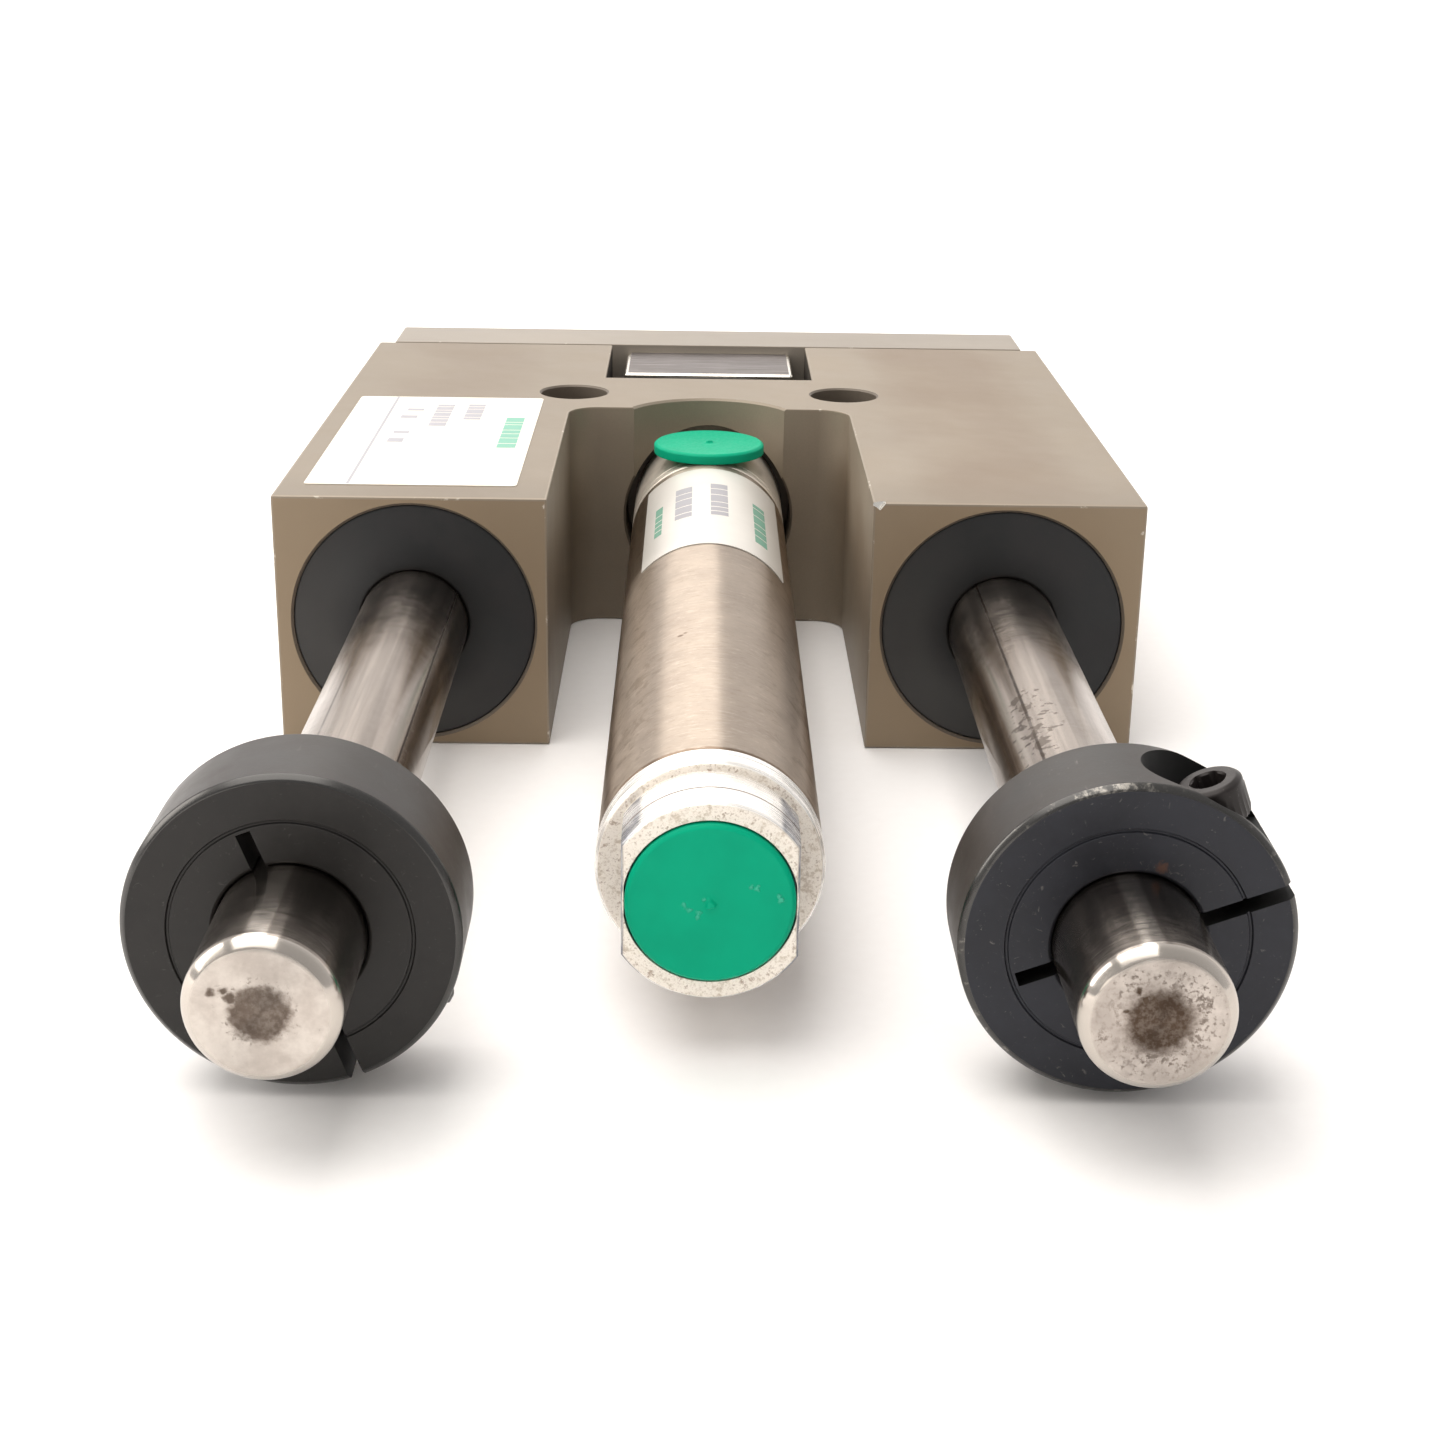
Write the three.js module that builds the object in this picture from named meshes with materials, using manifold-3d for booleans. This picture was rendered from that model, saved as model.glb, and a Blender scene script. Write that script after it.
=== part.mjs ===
// Guided pneumatic thruster: two guide rods slide in a U-shaped bearing block, pushed by a small
// round cylinder whose rod drives a tooling plate. Millimetres, +Z up, +Y the way the plate extends.
// The origin is on the block's base face, midway between its two mounting holes.
import * as THREE from "three";
import { mergeVertices } from "three/addons/utils/BufferGeometryUtils.js";
import Module from "manifold-3d";

const wasm = await Module();
wasm.setup();

// Bearing block
const blockWidth = 102.4;
const blockLength = 96;
const blockHeight = 30.5;
const armGap = 38.1;
const holeLine = 60.5; // from the block's front face back to the mounting holes
const front = -holeLine;
const back = front + blockLength;
const webFront = front + 50.8;
const webBack = front + 70.9;
const cornerRadius = 4;
const notchWidth = 30;
const portPocket = { radius: 11.75, y: front + 45.2 };
const noseSeat = { radius: 11.5, y: front + 58 };
const mountingHoles = { spacing: 38.1, radius: 2.6, headRadius: 4.66, headDepth: 5.3 };

// Guide rods and what rides on or in them
const axisZ = blockHeight / 2;
const rodSpacing = 69.85;
const rodRadius = 6.35;
const rodFront = front - 100;
const rodBack = front + 101;
const rodThread = { radius: 3.25, depth: 20 };
const runningGap = 0.05;
const bushing = { radius: 11.1, length: 31.75, inset: 5.5 };
const seal = { radius: 14.25, thickness: 4.7, recess: 0.3, dishRadius: 9.5, dishDepth: 1.8 };
const sealSeatDepth = 5.1;
const collar = { radius: 14.29, bore: 6.45, width: 10.3, y: front - 80.85, slit: 1.3 };
const collarGroove = { inner: 10.05, outer: 10.4, depth: 0.25 };
const reliefReach = 9.8;
const collarScrewSeat = { along: 10.6, height: 3.4, radius: 4.8 };
const collarScrewLift = { left: 0.05, right: 2.8 }; // the right one is backed out of its seat
const collarTurn = { left: -69.3, right: 20.5 }; // degrees from +X to the slit, towards +Z

// Tooling plate and the coupling to the cylinder's rod
const plateWidth = 98.3;
const plateBottom = 0.25;
const plateHeight = 30;
const plateFront = front + 98;
const plateBack = plateFront + 12.7;
const pilotDepth = 3.05;
const toolHoles = { x: 22.225, z: 9.525, radius: 2.05 };
const couplingWidth = 25.4;
const couplingHeight = 27.7;
const couplingFront = front + 81;
const couplingBack = plateFront - 0.05;
const nutPocket = { radius: 7, depth: 7.5 };
const couplingScrewOffset = 9.9;

// Cylinder
const tubeRadius = 10.3;
const boreRadius = 9.525;
const tubeBack = front - 68.2;
const tubeFront = front + 38.9;
const pressGap = 0.05;
const plugLength = 8;
const portRadius = 4.4;
const capRim = 10.35;
const capLedge = tubeBack - 3.1;
const capEnd = tubeBack - 10.3;
const capBoss = { radius: 9.35, acrossFlats: 15.5 };
const portRecess = { radius: 7.6, depth: 0.95 };
const headRadius = 10.3;
const headBack = noseSeat.y - 0.05;
const headPortY = front + 45.5;
const noseRadius = 7.94;
const noseEnd = front + 80;
const nutLength = 7.6;
const nutAcrossFlats = 23.8;
const pistonRodRadius = 3.175;
const pistonBack = tubeBack + 9.9;
const pistonLength = 11;
const portPlug = { radius: 7.45, flange: 1.4, stemRadius: 4.3, stemLength: 6, nubRadius: 0.6 };

// Labels
const labelThickness = 0.12;
const blockLabel = { x0: -48.3, x1: -23, y0: front + 5.75, y1: front + 55.3 };
const tubeLabel = { y0: front - 0.7, y1: front + 35.7, from: -50, to: 57 }; // degrees from the top

const sides = 24; // facets of the turned pieces, so that nested ones line up
const smallSides = 12; // facets of screws, their holes and the port plugs
const past = 1; // how far a cutter reaches past the faces that it opens
const screwSizes = {
  collar: { head: 2.87, height: 3.5, shank: 1.75, length: 12.7, hex: 2.78 },
  plate: { head: 4.76, height: 6.35, shank: 3.175, length: 19.05, hex: 4.76 },
  coupling: { head: 3.96, height: 4.83, shank: 2.4, length: 19.05, hex: 3.97 },
};

function metal(color, roughness, metalness = 1) {
  return new THREE.MeshStandardMaterial({ color, roughness, metalness });
}

const materials = {
  anodised: metal(0xa8998a, 0.5, 0.6),
  ground: metal(0x9a948c, 0.25),
  stainless: metal(0xa9a198, 0.35),
  aluminium: metal(0xd9d6d0, 0.4),
  zinc: metal(0xb5b7b8, 0.4),
  blackOxide: metal(0x26272b, 0.5, 0.7),
  bronze: metal(0xa87b42, 0.45),
  rubber: metal(0x151515, 0.8, 0),
  greenPlastic: metal(0x11a076, 0.4, 0),
  vinyl: metal(0xf1eee6, 0.5, 0),
};

// A closed three.js geometry as a solid.
function solid(geometry) {
  const bare = geometry.index ? geometry.toNonIndexed() : geometry.clone();
  bare.deleteAttribute("normal");
  bare.deleteAttribute("uv");
  const merged = mergeVertices(bare, 1e-4);
  const corners = merged.index.array;
  const kept = [];
  for (let i = 0; i < corners.length; i += 3) {
    const [a, b, c] = corners.slice(i, i + 3);
    if (a !== b && b !== c && c !== a) kept.push(a, b, c);
  }
  const vertProperties = merged.attributes.position.array;
  return new wasm.Manifold(
    new wasm.Mesh({ numProp: 3, vertProperties, triVerts: new Uint32Array(kept) }),
  );
}

// A solid as a three.js geometry with flat faces.
function geometryOf(shape) {
  const mesh = shape.getMesh();
  const position = new THREE.BufferAttribute(mesh.vertProperties, 3);
  const geometry = new THREE.BufferGeometry().setAttribute("position", position);
  geometry.setIndex(new THREE.BufferAttribute(mesh.triVerts, 1));
  const flat = geometry.toNonIndexed();
  flat.computeVertexNormals();
  return flat;
}

// An outline of [radius, y] corners turned about the Y axis.
function turned(outline, facets = sides) {
  const points = outline.map(([radius, y]) => new THREE.Vector2(radius, y));
  if (THREE.ShapeUtils.area(points) < 0) points.reverse();
  return solid(new THREE.LatheGeometry([...points, points[0]], facets));
}

// A straight round bar or hole along Y.
function rod(radius, y0, y1, facets = sides) {
  const outline = [
    [0, y0],
    [radius, y0],
    [radius, y1],
    [0, y1],
  ];
  return turned(outline, facets);
}

// A washer, bush or tube along Y.
function ring(inner, outer, y0, y1) {
  return turned([
    [inner, y0],
    [outer, y0],
    [outer, y1],
    [inner, y1],
  ]);
}

// A round bar or hole along Z.
function post(radius, x, y, z0, z1, facets = sides) {
  const geometry = new THREE.CylinderGeometry(radius, radius, z1 - z0, facets);
  geometry.rotateX(Math.PI / 2);
  geometry.translate(x, y, (z0 + z1) / 2);
  return solid(geometry);
}

function box(x0, x1, y0, y1, z0, z1) {
  const geometry = new THREE.BoxGeometry(x1 - x0, y1 - y0, z1 - z0);
  geometry.translate((x0 + x1) / 2, (y0 + y1) / 2, (z0 + z1) / 2);
  return solid(geometry);
}

// A hexagonal bar along Y, with two of its flats facing up and down.
function hexBar(acrossFlats, y0, y1) {
  const radius = acrossFlats / Math.sqrt(3);
  const geometry = new THREE.CylinderGeometry(radius, radius, y1 - y0, 6);
  geometry.rotateY(Math.PI / 6);
  geometry.translate(0, (y0 + y1) / 2, 0);
  return solid(geometry);
}

// A socket head screw along Y: the shank starts at y = 0 and points to -Y, the head stands on +Y.
function capScrew({ head, height, shank, length, hex }) {
  const bevel = 0.06 * head;
  const outline = [
    [0, -length],
    [shank - 0.4, -length],
    [shank, 0.4 - length],
    [shank, 0],
    [head, 0],
    [head, height - bevel],
    [head - bevel, height],
    [0, height],
  ];
  const body = turned(outline, smallSides);
  return body.subtract(hexBar(hex, 0.45 * height, height + past));
}

// The U of the block in plan: two arms joined by a web, with a notch behind the web.
function blockOutline() {
  const shape = new THREE.Shape();
  const inner = armGap / 2;
  const outer = blockWidth / 2;
  const notch = notchWidth / 2;
  shape.moveTo(-outer, front);
  shape.lineTo(-inner, front);
  shape.lineTo(-inner, webFront - cornerRadius);
  shape.absarc(cornerRadius - inner, webFront - cornerRadius, cornerRadius, Math.PI, Math.PI / 2, true);
  shape.lineTo(inner - cornerRadius, webFront);
  shape.absarc(inner - cornerRadius, webFront - cornerRadius, cornerRadius, Math.PI / 2, 0, true);
  shape.lineTo(inner, front);
  shape.lineTo(outer, front);
  shape.lineTo(outer, back);
  shape.lineTo(notch, back);
  shape.lineTo(notch, webBack);
  shape.lineTo(-notch, webBack);
  shape.lineTo(-notch, back);
  shape.lineTo(-outer, back);
  return shape;
}

function bearingBlock() {
  const options = { depth: blockHeight, bevelEnabled: false, curveSegments: 6 };
  let block = solid(new THREE.ExtrudeGeometry(blockOutline(), options));
  block = block.subtract(post(portPocket.radius, 0, portPocket.y, axisZ, blockHeight + past));
  const nose = rod(noseSeat.radius, webFront - past, noseSeat.y).add(
    rod(noseRadius + 0.16, noseSeat.y - past, webBack + past),
  );
  block = block.subtract(nose.translate([0, 0, axisZ]));
  for (const side of [-1, 1]) {
    const bore = rod(bushing.radius + pressGap, front - past, back + past)
      .add(rod(seal.radius + pressGap, front - past, front + sealSeatDepth))
      .add(rod(seal.radius + pressGap, back - sealSeatDepth, back + past));
    block = block.subtract(bore.translate([(side * rodSpacing) / 2, 0, axisZ]));
    const x = (side * mountingHoles.spacing) / 2;
    const seat = blockHeight - mountingHoles.headDepth;
    block = block.subtract(post(mountingHoles.radius, x, 0, -past, blockHeight + past, smallSides));
    block = block.subtract(post(mountingHoles.headRadius, x, 0, seat, blockHeight + past));
  }
  return block;
}

// Wiper seal with a dished outer face. Its lip runs on the rod. The dish faces the -Y end.
function wiperSeal() {
  const inner = rodRadius + runningGap;
  return turned([
    [inner, seal.dishDepth],
    [seal.dishRadius, 0],
    [seal.radius, 0],
    [seal.radius, seal.thickness],
    [inner, seal.thickness],
  ]);
}

// Linear ball bushing with two snap ring grooves.
function linearBushing(y0) {
  const y1 = y0 + bushing.length;
  const groove = { from: 3.3, width: 1.2, depth: 0.5 };
  const inner = rodRadius + runningGap;
  const low = bushing.radius - groove.depth;
  return turned([
    [inner, y0],
    [bushing.radius, y0],
    [bushing.radius, y0 + groove.from],
    [low, y0 + groove.from],
    [low, y0 + groove.from + groove.width],
    [bushing.radius, y0 + groove.from + groove.width],
    [bushing.radius, y1 - groove.from - groove.width],
    [low, y1 - groove.from - groove.width],
    [low, y1 - groove.from],
    [bushing.radius, y1 - groove.from],
    [bushing.radius, y1],
    [inner, y1],
  ]);
}

function guideRod() {
  const chamfer = 0.9;
  return turned([
    [0, rodFront],
    [rodRadius - chamfer, rodFront],
    [rodRadius, rodFront + chamfer],
    [rodRadius, rodBack - chamfer / 2],
    [rodRadius - chamfer / 2, rodBack],
    [rodThread.radius, rodBack],
    [rodThread.radius, rodBack - rodThread.depth],
    [0, rodBack - rodThread.depth - 1.5],
  ]);
}

// One-piece clamp collar with its slit along +X. headSide puts the screw's head at +Z or -Z.
function stopCollar(headSide) {
  const half = collar.width / 2;
  const bevel = 0.5;
  const { inner, outer, depth } = collarGroove;
  const body = turned([
    [collar.bore, -half],
    [inner, -half],
    [inner, depth - half],
    [outer, depth - half],
    [outer, -half],
    [collar.radius - bevel, -half],
    [collar.radius, bevel - half],
    [collar.radius, half - bevel],
    [collar.radius - bevel, half],
    [collar.bore, half],
  ]);
  const wide = half + past;
  const gap = collar.slit / 2;
  const slit = box(collar.bore - past, collar.radius + past, -wide, wide, -gap, gap);
  const relief = box(-reliefReach, past - collar.bore, -wide, wide, -gap, gap);
  const { along, height, radius } = collarScrewSeat;
  const levels = [headSide * height, headSide * (collar.radius + past)].sort((a, b) => a - b);
  const seat = post(radius, along, 0, ...levels);
  const hole = screwSizes.collar.shank + 0.08;
  const thread = post(hole, along, 0, -collar.radius, collar.radius, smallSides);
  return body.subtract(slit).subtract(relief).subtract(seat).subtract(thread);
}

function toolingPlate() {
  const half = plateWidth / 2;
  const plateTop = plateBottom + plateHeight;
  let plate = box(-half, half, plateFront, plateBack, plateBottom, plateTop);
  for (const side of [-1, 1]) {
    const rodEnd = rod(rodRadius + pressGap, plateFront - past, plateFront + pilotDepth)
      .add(rod(screwSizes.plate.shank + 0.1, plateFront, plateBack, smallSides))
      .add(rod(screwSizes.plate.head + 0.25, plateBack - 6.6, plateBack + past, smallSides));
    plate = plate.subtract(rodEnd.translate([(side * rodSpacing) / 2, 0, axisZ]));
    const fixing = rod(screwSizes.coupling.shank + 0.1, plateFront - past, plateBack, smallSides).add(
      rod(screwSizes.coupling.head + 0.2, plateBack - 5.3, plateBack + past, smallSides),
    );
    plate = plate.subtract(fixing.translate([0, 0, axisZ + side * couplingScrewOffset]));
    for (const level of [-1, 1]) {
      const tapped = rod(toolHoles.radius, plateFront - past, plateBack + past, smallSides);
      plate = plate.subtract(tapped.translate([side * toolHoles.x, 0, axisZ + level * toolHoles.z]));
    }
  }
  return plate;
}

function couplingBlock() {
  const x = couplingWidth / 2;
  const z = couplingHeight / 2;
  let block = box(-x, x, couplingFront, couplingBack, axisZ - z, axisZ + z);
  const rodHole = rod(pistonRodRadius + pressGap, couplingFront - past, couplingBack).add(
    rod(nutPocket.radius, couplingBack - nutPocket.depth, couplingBack + past),
  );
  block = block.subtract(rodHole.translate([0, 0, axisZ]));
  for (const side of [-1, 1]) {
    const wall = screwSizes.coupling.shank + 0.06;
    const tapped = rod(wall, couplingFront + 3, couplingBack + past, smallSides);
    block = block.subtract(tapped.translate([0, 0, axisZ + side * couplingScrewOffset]));
  }
  return block;
}

// Hexagonal nut along Y, its corners chamfered at both ends.
function hexNut(acrossFlats, hole, y0, y1) {
  const corner = acrossFlats / Math.sqrt(3);
  const bevel = 0.1 * corner;
  const blank = turned([
    [hole, y0],
    [corner - bevel, y0],
    [corner, y0 + bevel / 2],
    [corner, y1 - bevel / 2],
    [corner - bevel, y1],
    [hole, y1],
  ]);
  return blank.intersect(hexBar(acrossFlats, y0 - past, y1 + past));
}

function cylinderTube() {
  const rolled = 0.5;
  return turned([
    [boreRadius, tubeBack],
    [tubeRadius - rolled / 2, tubeBack],
    [tubeRadius, tubeBack + rolled],
    [tubeRadius, tubeFront - rolled],
    [tubeRadius - rolled / 2, tubeFront],
    [boreRadius, tubeFront],
  ]);
}

// Rear cap: a grooved plug in the tube, a turned rim and a flatted boss with the rear port.
function rearCap() {
  const plug = boreRadius - pressGap;
  const inner = tubeBack + plugLength;
  const groove = plug - 1.4;
  const bevel = 0.3;
  const recess = capEnd + portRecess.depth;
  const body = turned([
    [portRadius, recess],
    [portRecess.radius, recess],
    [portRecess.radius, capEnd],
    [capBoss.radius - bevel, capEnd],
    [capBoss.radius, capEnd + bevel],
    [capBoss.radius, capLedge],
    [capRim - bevel, capLedge],
    [capRim, capLedge + bevel],
    [capRim, tubeBack - pressGap],
    [plug, tubeBack - pressGap],
    [plug, inner - 4.8],
    [groove, inner - 4.8],
    [groove, inner - 2.8],
    [plug, inner - 2.8],
    [plug, inner],
    [portRadius, inner],
  ]);
  const flat = capBoss.acrossFlats / 2;
  const far = headRadius + past;
  const left = box(-far, -flat, capEnd - past, capLedge, -far, far);
  const right = box(flat, far, capEnd - past, capLedge, -far, far);
  return body.subtract(left).subtract(right);
}

// Front head: a grooved plug in the tube, the body with the front port on top, and the nose.
function cylinderHead() {
  const plug = boreRadius - pressGap;
  const inner = tubeFront - plugLength;
  const groove = plug - 1.4;
  const gland = front + 54;
  const body = turned([
    [5, inner],
    [plug, inner],
    [plug, inner + 2.8],
    [groove, inner + 2.8],
    [groove, inner + 4.8],
    [plug, inner + 4.8],
    [plug, tubeFront + pressGap],
    [headRadius, tubeFront + pressGap],
    [headRadius, headBack],
    [noseRadius, headBack],
    [noseRadius, noseEnd - 0.6],
    [noseRadius - 0.6, noseEnd],
    [4.8, noseEnd],
    [4.8, gland + 4],
    [5.4, gland + 4],
    [5.4, gland],
    [5, gland],
  ]);
  return body.subtract(post(portRadius, 0, headPortY, 0, headRadius + past));
}

function sealRing(y) {
  const outer = boreRadius - runningGap;
  return ring(outer - 1.3, outer, y, y + 1.9);
}

// Rod seal, with a lip at its pressure side.
function rodSeal() {
  const y = front + 54.1;
  const inner = pistonRodRadius + runningGap;
  return turned([
    [inner, y],
    [inner + 0.6, y],
    [inner + 1, y + 1.2],
    [4.8, y],
    [5.35, y],
    [5.35, y + 3.8],
    [inner, y + 3.8],
  ]);
}

// Piston with two seal grooves, riveted over the rod's spigot.
function pistonBody() {
  const outer = boreRadius - 0.1;
  const floor = outer - 2.2;
  const seat = pistonBack + pistonLength;
  return turned([
    [2.45, pistonBack],
    [outer, pistonBack],
    [outer, pistonBack + 1.6],
    [floor, pistonBack + 1.6],
    [floor, pistonBack + 4.2],
    [outer, pistonBack + 4.2],
    [outer, seat - 4.2],
    [floor, seat - 4.2],
    [floor, seat - 1.6],
    [outer, seat - 1.6],
    [outer, seat],
    [2.45, seat],
  ]);
}

// Cup seal in a piston groove. The open side of the cup faces pressure, towards -Y when facing is -1.
function pistonSeal(y, facing) {
  const inner = boreRadius - 2.25;
  const outer = boreRadius - runningGap;
  const length = 2.4;
  const outline = [
    [inner, -length / 2],
    [inner + 0.6, -length / 2],
    [inner + 1.1, 0.2],
    [outer - 0.5, -length / 2],
    [outer, -length / 2],
    [outer, length / 2],
    [inner, length / 2],
  ];
  return turned(outline.map(([radius, across]) => [radius, y - facing * across]));
}

function pistonRod() {
  const seat = pistonBack + pistonLength + 0.05;
  const shoulder = couplingFront - 0.5;
  const end = couplingBack - 1.5;
  return turned([
    [0, pistonBack],
    [2.4, pistonBack],
    [2.4, seat],
    [pistonRodRadius, seat],
    [pistonRodRadius, shoulder],
    [pistonRodRadius - 0.1, shoulder],
    [pistonRodRadius - 0.1, end - 0.5],
    [pistonRodRadius - 0.6, end],
    [0, end],
  ]);
}

// Push-in port cap whose flange lies at y = 0 and up, its stem towards -Y and a moulding nub on top.
function plugCap() {
  const { radius, flange, stemRadius, stemLength, nubRadius } = portPlug;
  return turned([
    [0, -stemLength],
    [stemRadius - 0.4, -stemLength],
    [stemRadius, 0.6 - stemLength],
    [stemRadius, 0],
    [radius, 0],
    [radius, flange - 0.3],
    [radius - 0.3, flange],
    [nubRadius, flange],
    [nubRadius / 2, flange + 0.3],
    [0, flange + 0.3],
  ]);
}

// Label wrapped round the tube's top.
function wrappedLabel() {
  const inner = tubeRadius + 0.03;
  const outer = inner + labelThickness;
  const steps = 16;
  const at = (radius, angle) => new THREE.Vector2(radius * Math.sin(angle), radius * Math.cos(angle));
  const points = [];
  for (let i = 0; i <= steps; i++) {
    const angle = THREE.MathUtils.degToRad(THREE.MathUtils.lerp(tubeLabel.from, tubeLabel.to, i / steps));
    points.push(at(outer, angle));
    points.unshift(at(inner, angle));
  }
  const options = { depth: tubeLabel.y1 - tubeLabel.y0, bevelEnabled: false };
  const geometry = new THREE.ExtrudeGeometry(new THREE.Shape(points), options);
  geometry.rotateX(Math.PI / 2);
  geometry.translate(0, tubeLabel.y1, 0);
  return solid(geometry);
}

const thruster = new THREE.Group();

function place(name, shape, material, position = [0, 0, 0], parent = thruster) {
  const mesh = new THREE.Mesh(geometryOf(shape), material);
  mesh.name = name;
  mesh.position.set(...position);
  parent.add(mesh);
  return mesh;
}

// The bearing block with its guides, seals and label
place("bearing_block", bearingBlock(), materials.anodised);
for (const [side, sign] of [["left", -1], ["right", 1]]) {
  const x = (sign * rodSpacing) / 2;
  const onRod = [x, 0, axisZ];
  const nearBushing = front + bushing.inset;
  const farBushing = back - bushing.inset - bushing.length;
  place(`linear_bushing_front_${side}`, linearBushing(nearBushing), materials.zinc, onRod);
  place(`linear_bushing_rear_${side}`, linearBushing(farBushing), materials.zinc, onRod);
  const spacer = ring(7.5, bushing.radius, nearBushing + bushing.length + 0.05, farBushing - 0.05);
  place(`bushing_spacer_${side}`, spacer, materials.aluminium, onRod);
  place(`wiper_seal_front_${side}`, wiperSeal(), materials.rubber, [x, front + seal.recess, axisZ]);
  const rearSeat = [x, back - seal.recess, axisZ];
  const rearSeal = place(`wiper_seal_rear_${side}`, wiperSeal(), materials.rubber, rearSeat);
  rearSeal.rotation.x = Math.PI;
}
const labelFace = [blockHeight, blockHeight + labelThickness];
const { x0, x1, y0, y1 } = blockLabel;
place("block_label", box(x0, x1, y0, y1, ...labelFace), materials.vinyl);

// The cylinder, fixed in the block's web by its nose nut
const onAxis = [0, 0, axisZ];
const headInner = tubeFront - plugLength;
const capInner = tubeBack + plugLength;
place("cylinder_tube", cylinderTube(), materials.stainless, onAxis);
place("cylinder_head", cylinderHead(), materials.aluminium, onAxis);
place("rear_cap", rearCap(), materials.aluminium, onAxis);
place("head_oring", sealRing(headInner + 2.85), materials.rubber, onAxis);
place("cap_oring", sealRing(capInner - 4.75), materials.rubber, onAxis);
place("front_bumper", ring(5, 9.2, headInner - 1.5, headInner - 0.05), materials.rubber, onAxis);
place("rear_bumper", ring(5, 9.2, capInner + 0.05, capInner + 1.5), materials.rubber, onAxis);
place("rod_seal", rodSeal(), materials.rubber, onAxis);
const rodBush = ring(pistonRodRadius + runningGap, 4.75, front + 62, noseEnd - 0.1);
place("rod_bushing", rodBush, materials.bronze, onAxis);
const noseNut = hexNut(nutAcrossFlats, noseRadius + 0.06, webBack + 0.05, webBack + nutLength);
place("nose_nut", noseNut, materials.zinc, onAxis);
place("tube_label", wrappedLabel(), materials.vinyl, onAxis);
const rearPlugSeat = [0, capEnd + portRecess.depth - 0.05, axisZ];
const rearPlug = place("rear_port_plug", plugCap(), materials.greenPlastic, rearPlugSeat);
rearPlug.rotation.x = Math.PI;
const frontPlugSeat = [0, headPortY, axisZ + headRadius + 0.05];
const frontPlug = place("front_port_plug", plugCap(), materials.greenPlastic, frontPlugSeat);
frontPlug.rotation.x = Math.PI / 2;

// The moving carriage: guide rods, stop collars, tooling plate, coupling, piston rod and piston
for (const [side, sign, headSide] of [["left", -1, -1], ["right", 1, 1]]) {
  const x = (sign * rodSpacing) / 2;
  place(`guide_rod_${side}`, guideRod(), materials.ground, [x, 0, axisZ]);
  const clamp = new THREE.Group();
  clamp.position.set(x, collar.y, axisZ);
  clamp.rotation.y = -THREE.MathUtils.degToRad(collarTurn[side]);
  thruster.add(clamp);
  place(`stop_collar_${side}`, stopCollar(headSide), materials.blackOxide, [0, 0, 0], clamp);
  const seat = [collarScrewSeat.along, 0, headSide * (collarScrewSeat.height + collarScrewLift[side])];
  const collarScrew = capScrew(screwSizes.collar);
  const screw = place(`collar_screw_${side}`, collarScrew, materials.blackOxide, seat, clamp);
  screw.rotation.x = (headSide * Math.PI) / 2;
  const plateSeat = [x, plateBack - 6.6 + 0.05, axisZ];
  place(`plate_screw_${side}`, capScrew(screwSizes.plate), materials.blackOxide, plateSeat);
}
place("tooling_plate", toolingPlate(), materials.anodised);
place("coupling_block", couplingBlock(), materials.aluminium);
for (const [level, sign] of [["lower", -1], ["upper", 1]]) {
  const seat = [0, plateBack - 5.3 + 0.05, axisZ + sign * couplingScrewOffset];
  place(`coupling_screw_${level}`, capScrew(screwSizes.coupling), materials.blackOxide, seat);
}
const lockSeat = couplingBack - nutPocket.depth + 0.05;
place("rod_lock_nut", hexNut(11.11, pistonRodRadius, lockSeat, lockSeat + 3.97), materials.zinc, onAxis);
place("piston_rod", pistonRod(), materials.ground, onAxis);
place("piston", pistonBody(), materials.aluminium, onAxis);
place("piston_seal_rear", pistonSeal(pistonBack + 2.9, -1), materials.rubber, onAxis);
place("piston_seal_front", pistonSeal(pistonBack + pistonLength - 2.9, 1), materials.rubber, onAxis);

export default thruster;
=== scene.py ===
"""Looks for the guided pneumatic thruster: detailed pieces, materials, floor, lights and camera."""

import math
import random

import bmesh
import bpy
from mathutils import Matrix, Vector


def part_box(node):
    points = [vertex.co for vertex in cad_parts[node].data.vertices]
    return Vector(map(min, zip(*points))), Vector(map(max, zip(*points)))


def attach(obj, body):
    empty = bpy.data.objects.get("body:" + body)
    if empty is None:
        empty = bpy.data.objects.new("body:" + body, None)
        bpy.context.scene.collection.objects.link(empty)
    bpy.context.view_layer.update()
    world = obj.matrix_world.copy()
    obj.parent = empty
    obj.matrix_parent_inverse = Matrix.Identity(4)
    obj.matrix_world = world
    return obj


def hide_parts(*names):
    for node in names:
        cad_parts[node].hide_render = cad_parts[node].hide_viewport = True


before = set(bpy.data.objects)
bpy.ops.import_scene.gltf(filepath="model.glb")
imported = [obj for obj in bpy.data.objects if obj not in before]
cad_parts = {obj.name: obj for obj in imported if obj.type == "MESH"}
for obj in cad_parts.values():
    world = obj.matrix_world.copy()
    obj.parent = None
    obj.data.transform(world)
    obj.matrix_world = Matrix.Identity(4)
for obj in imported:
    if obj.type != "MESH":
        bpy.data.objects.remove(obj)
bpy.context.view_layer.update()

MM = 0.001  # meshes are built in millimetres and scaled once at the end
TURN = 2 * math.pi
SHARP = math.radians(32)
random.seed(7)


# Where the CAD pieces are, in millimetres


def span(node):
    """Lowest corner, highest corner and middle of a CAD node."""
    low, high = (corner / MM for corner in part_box(node))
    return low, high, (low + high) / 2


BLOCK_LOW, BLOCK_HIGH, _ = span("bearing_block")
FRONT, BACK, TOP = BLOCK_LOW.y, BLOCK_HIGH.y, BLOCK_HIGH.z
AXIS_Z = TOP / 2
ROD_X = {side: span(f"guide_rod_{side}")[2].x for side in ("left", "right")}
WEB_FRONT, WEB_BACK = FRONT + 50.8, FRONT + 70.9
SEAL_BORE = 14.3


# Mesh building


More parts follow.
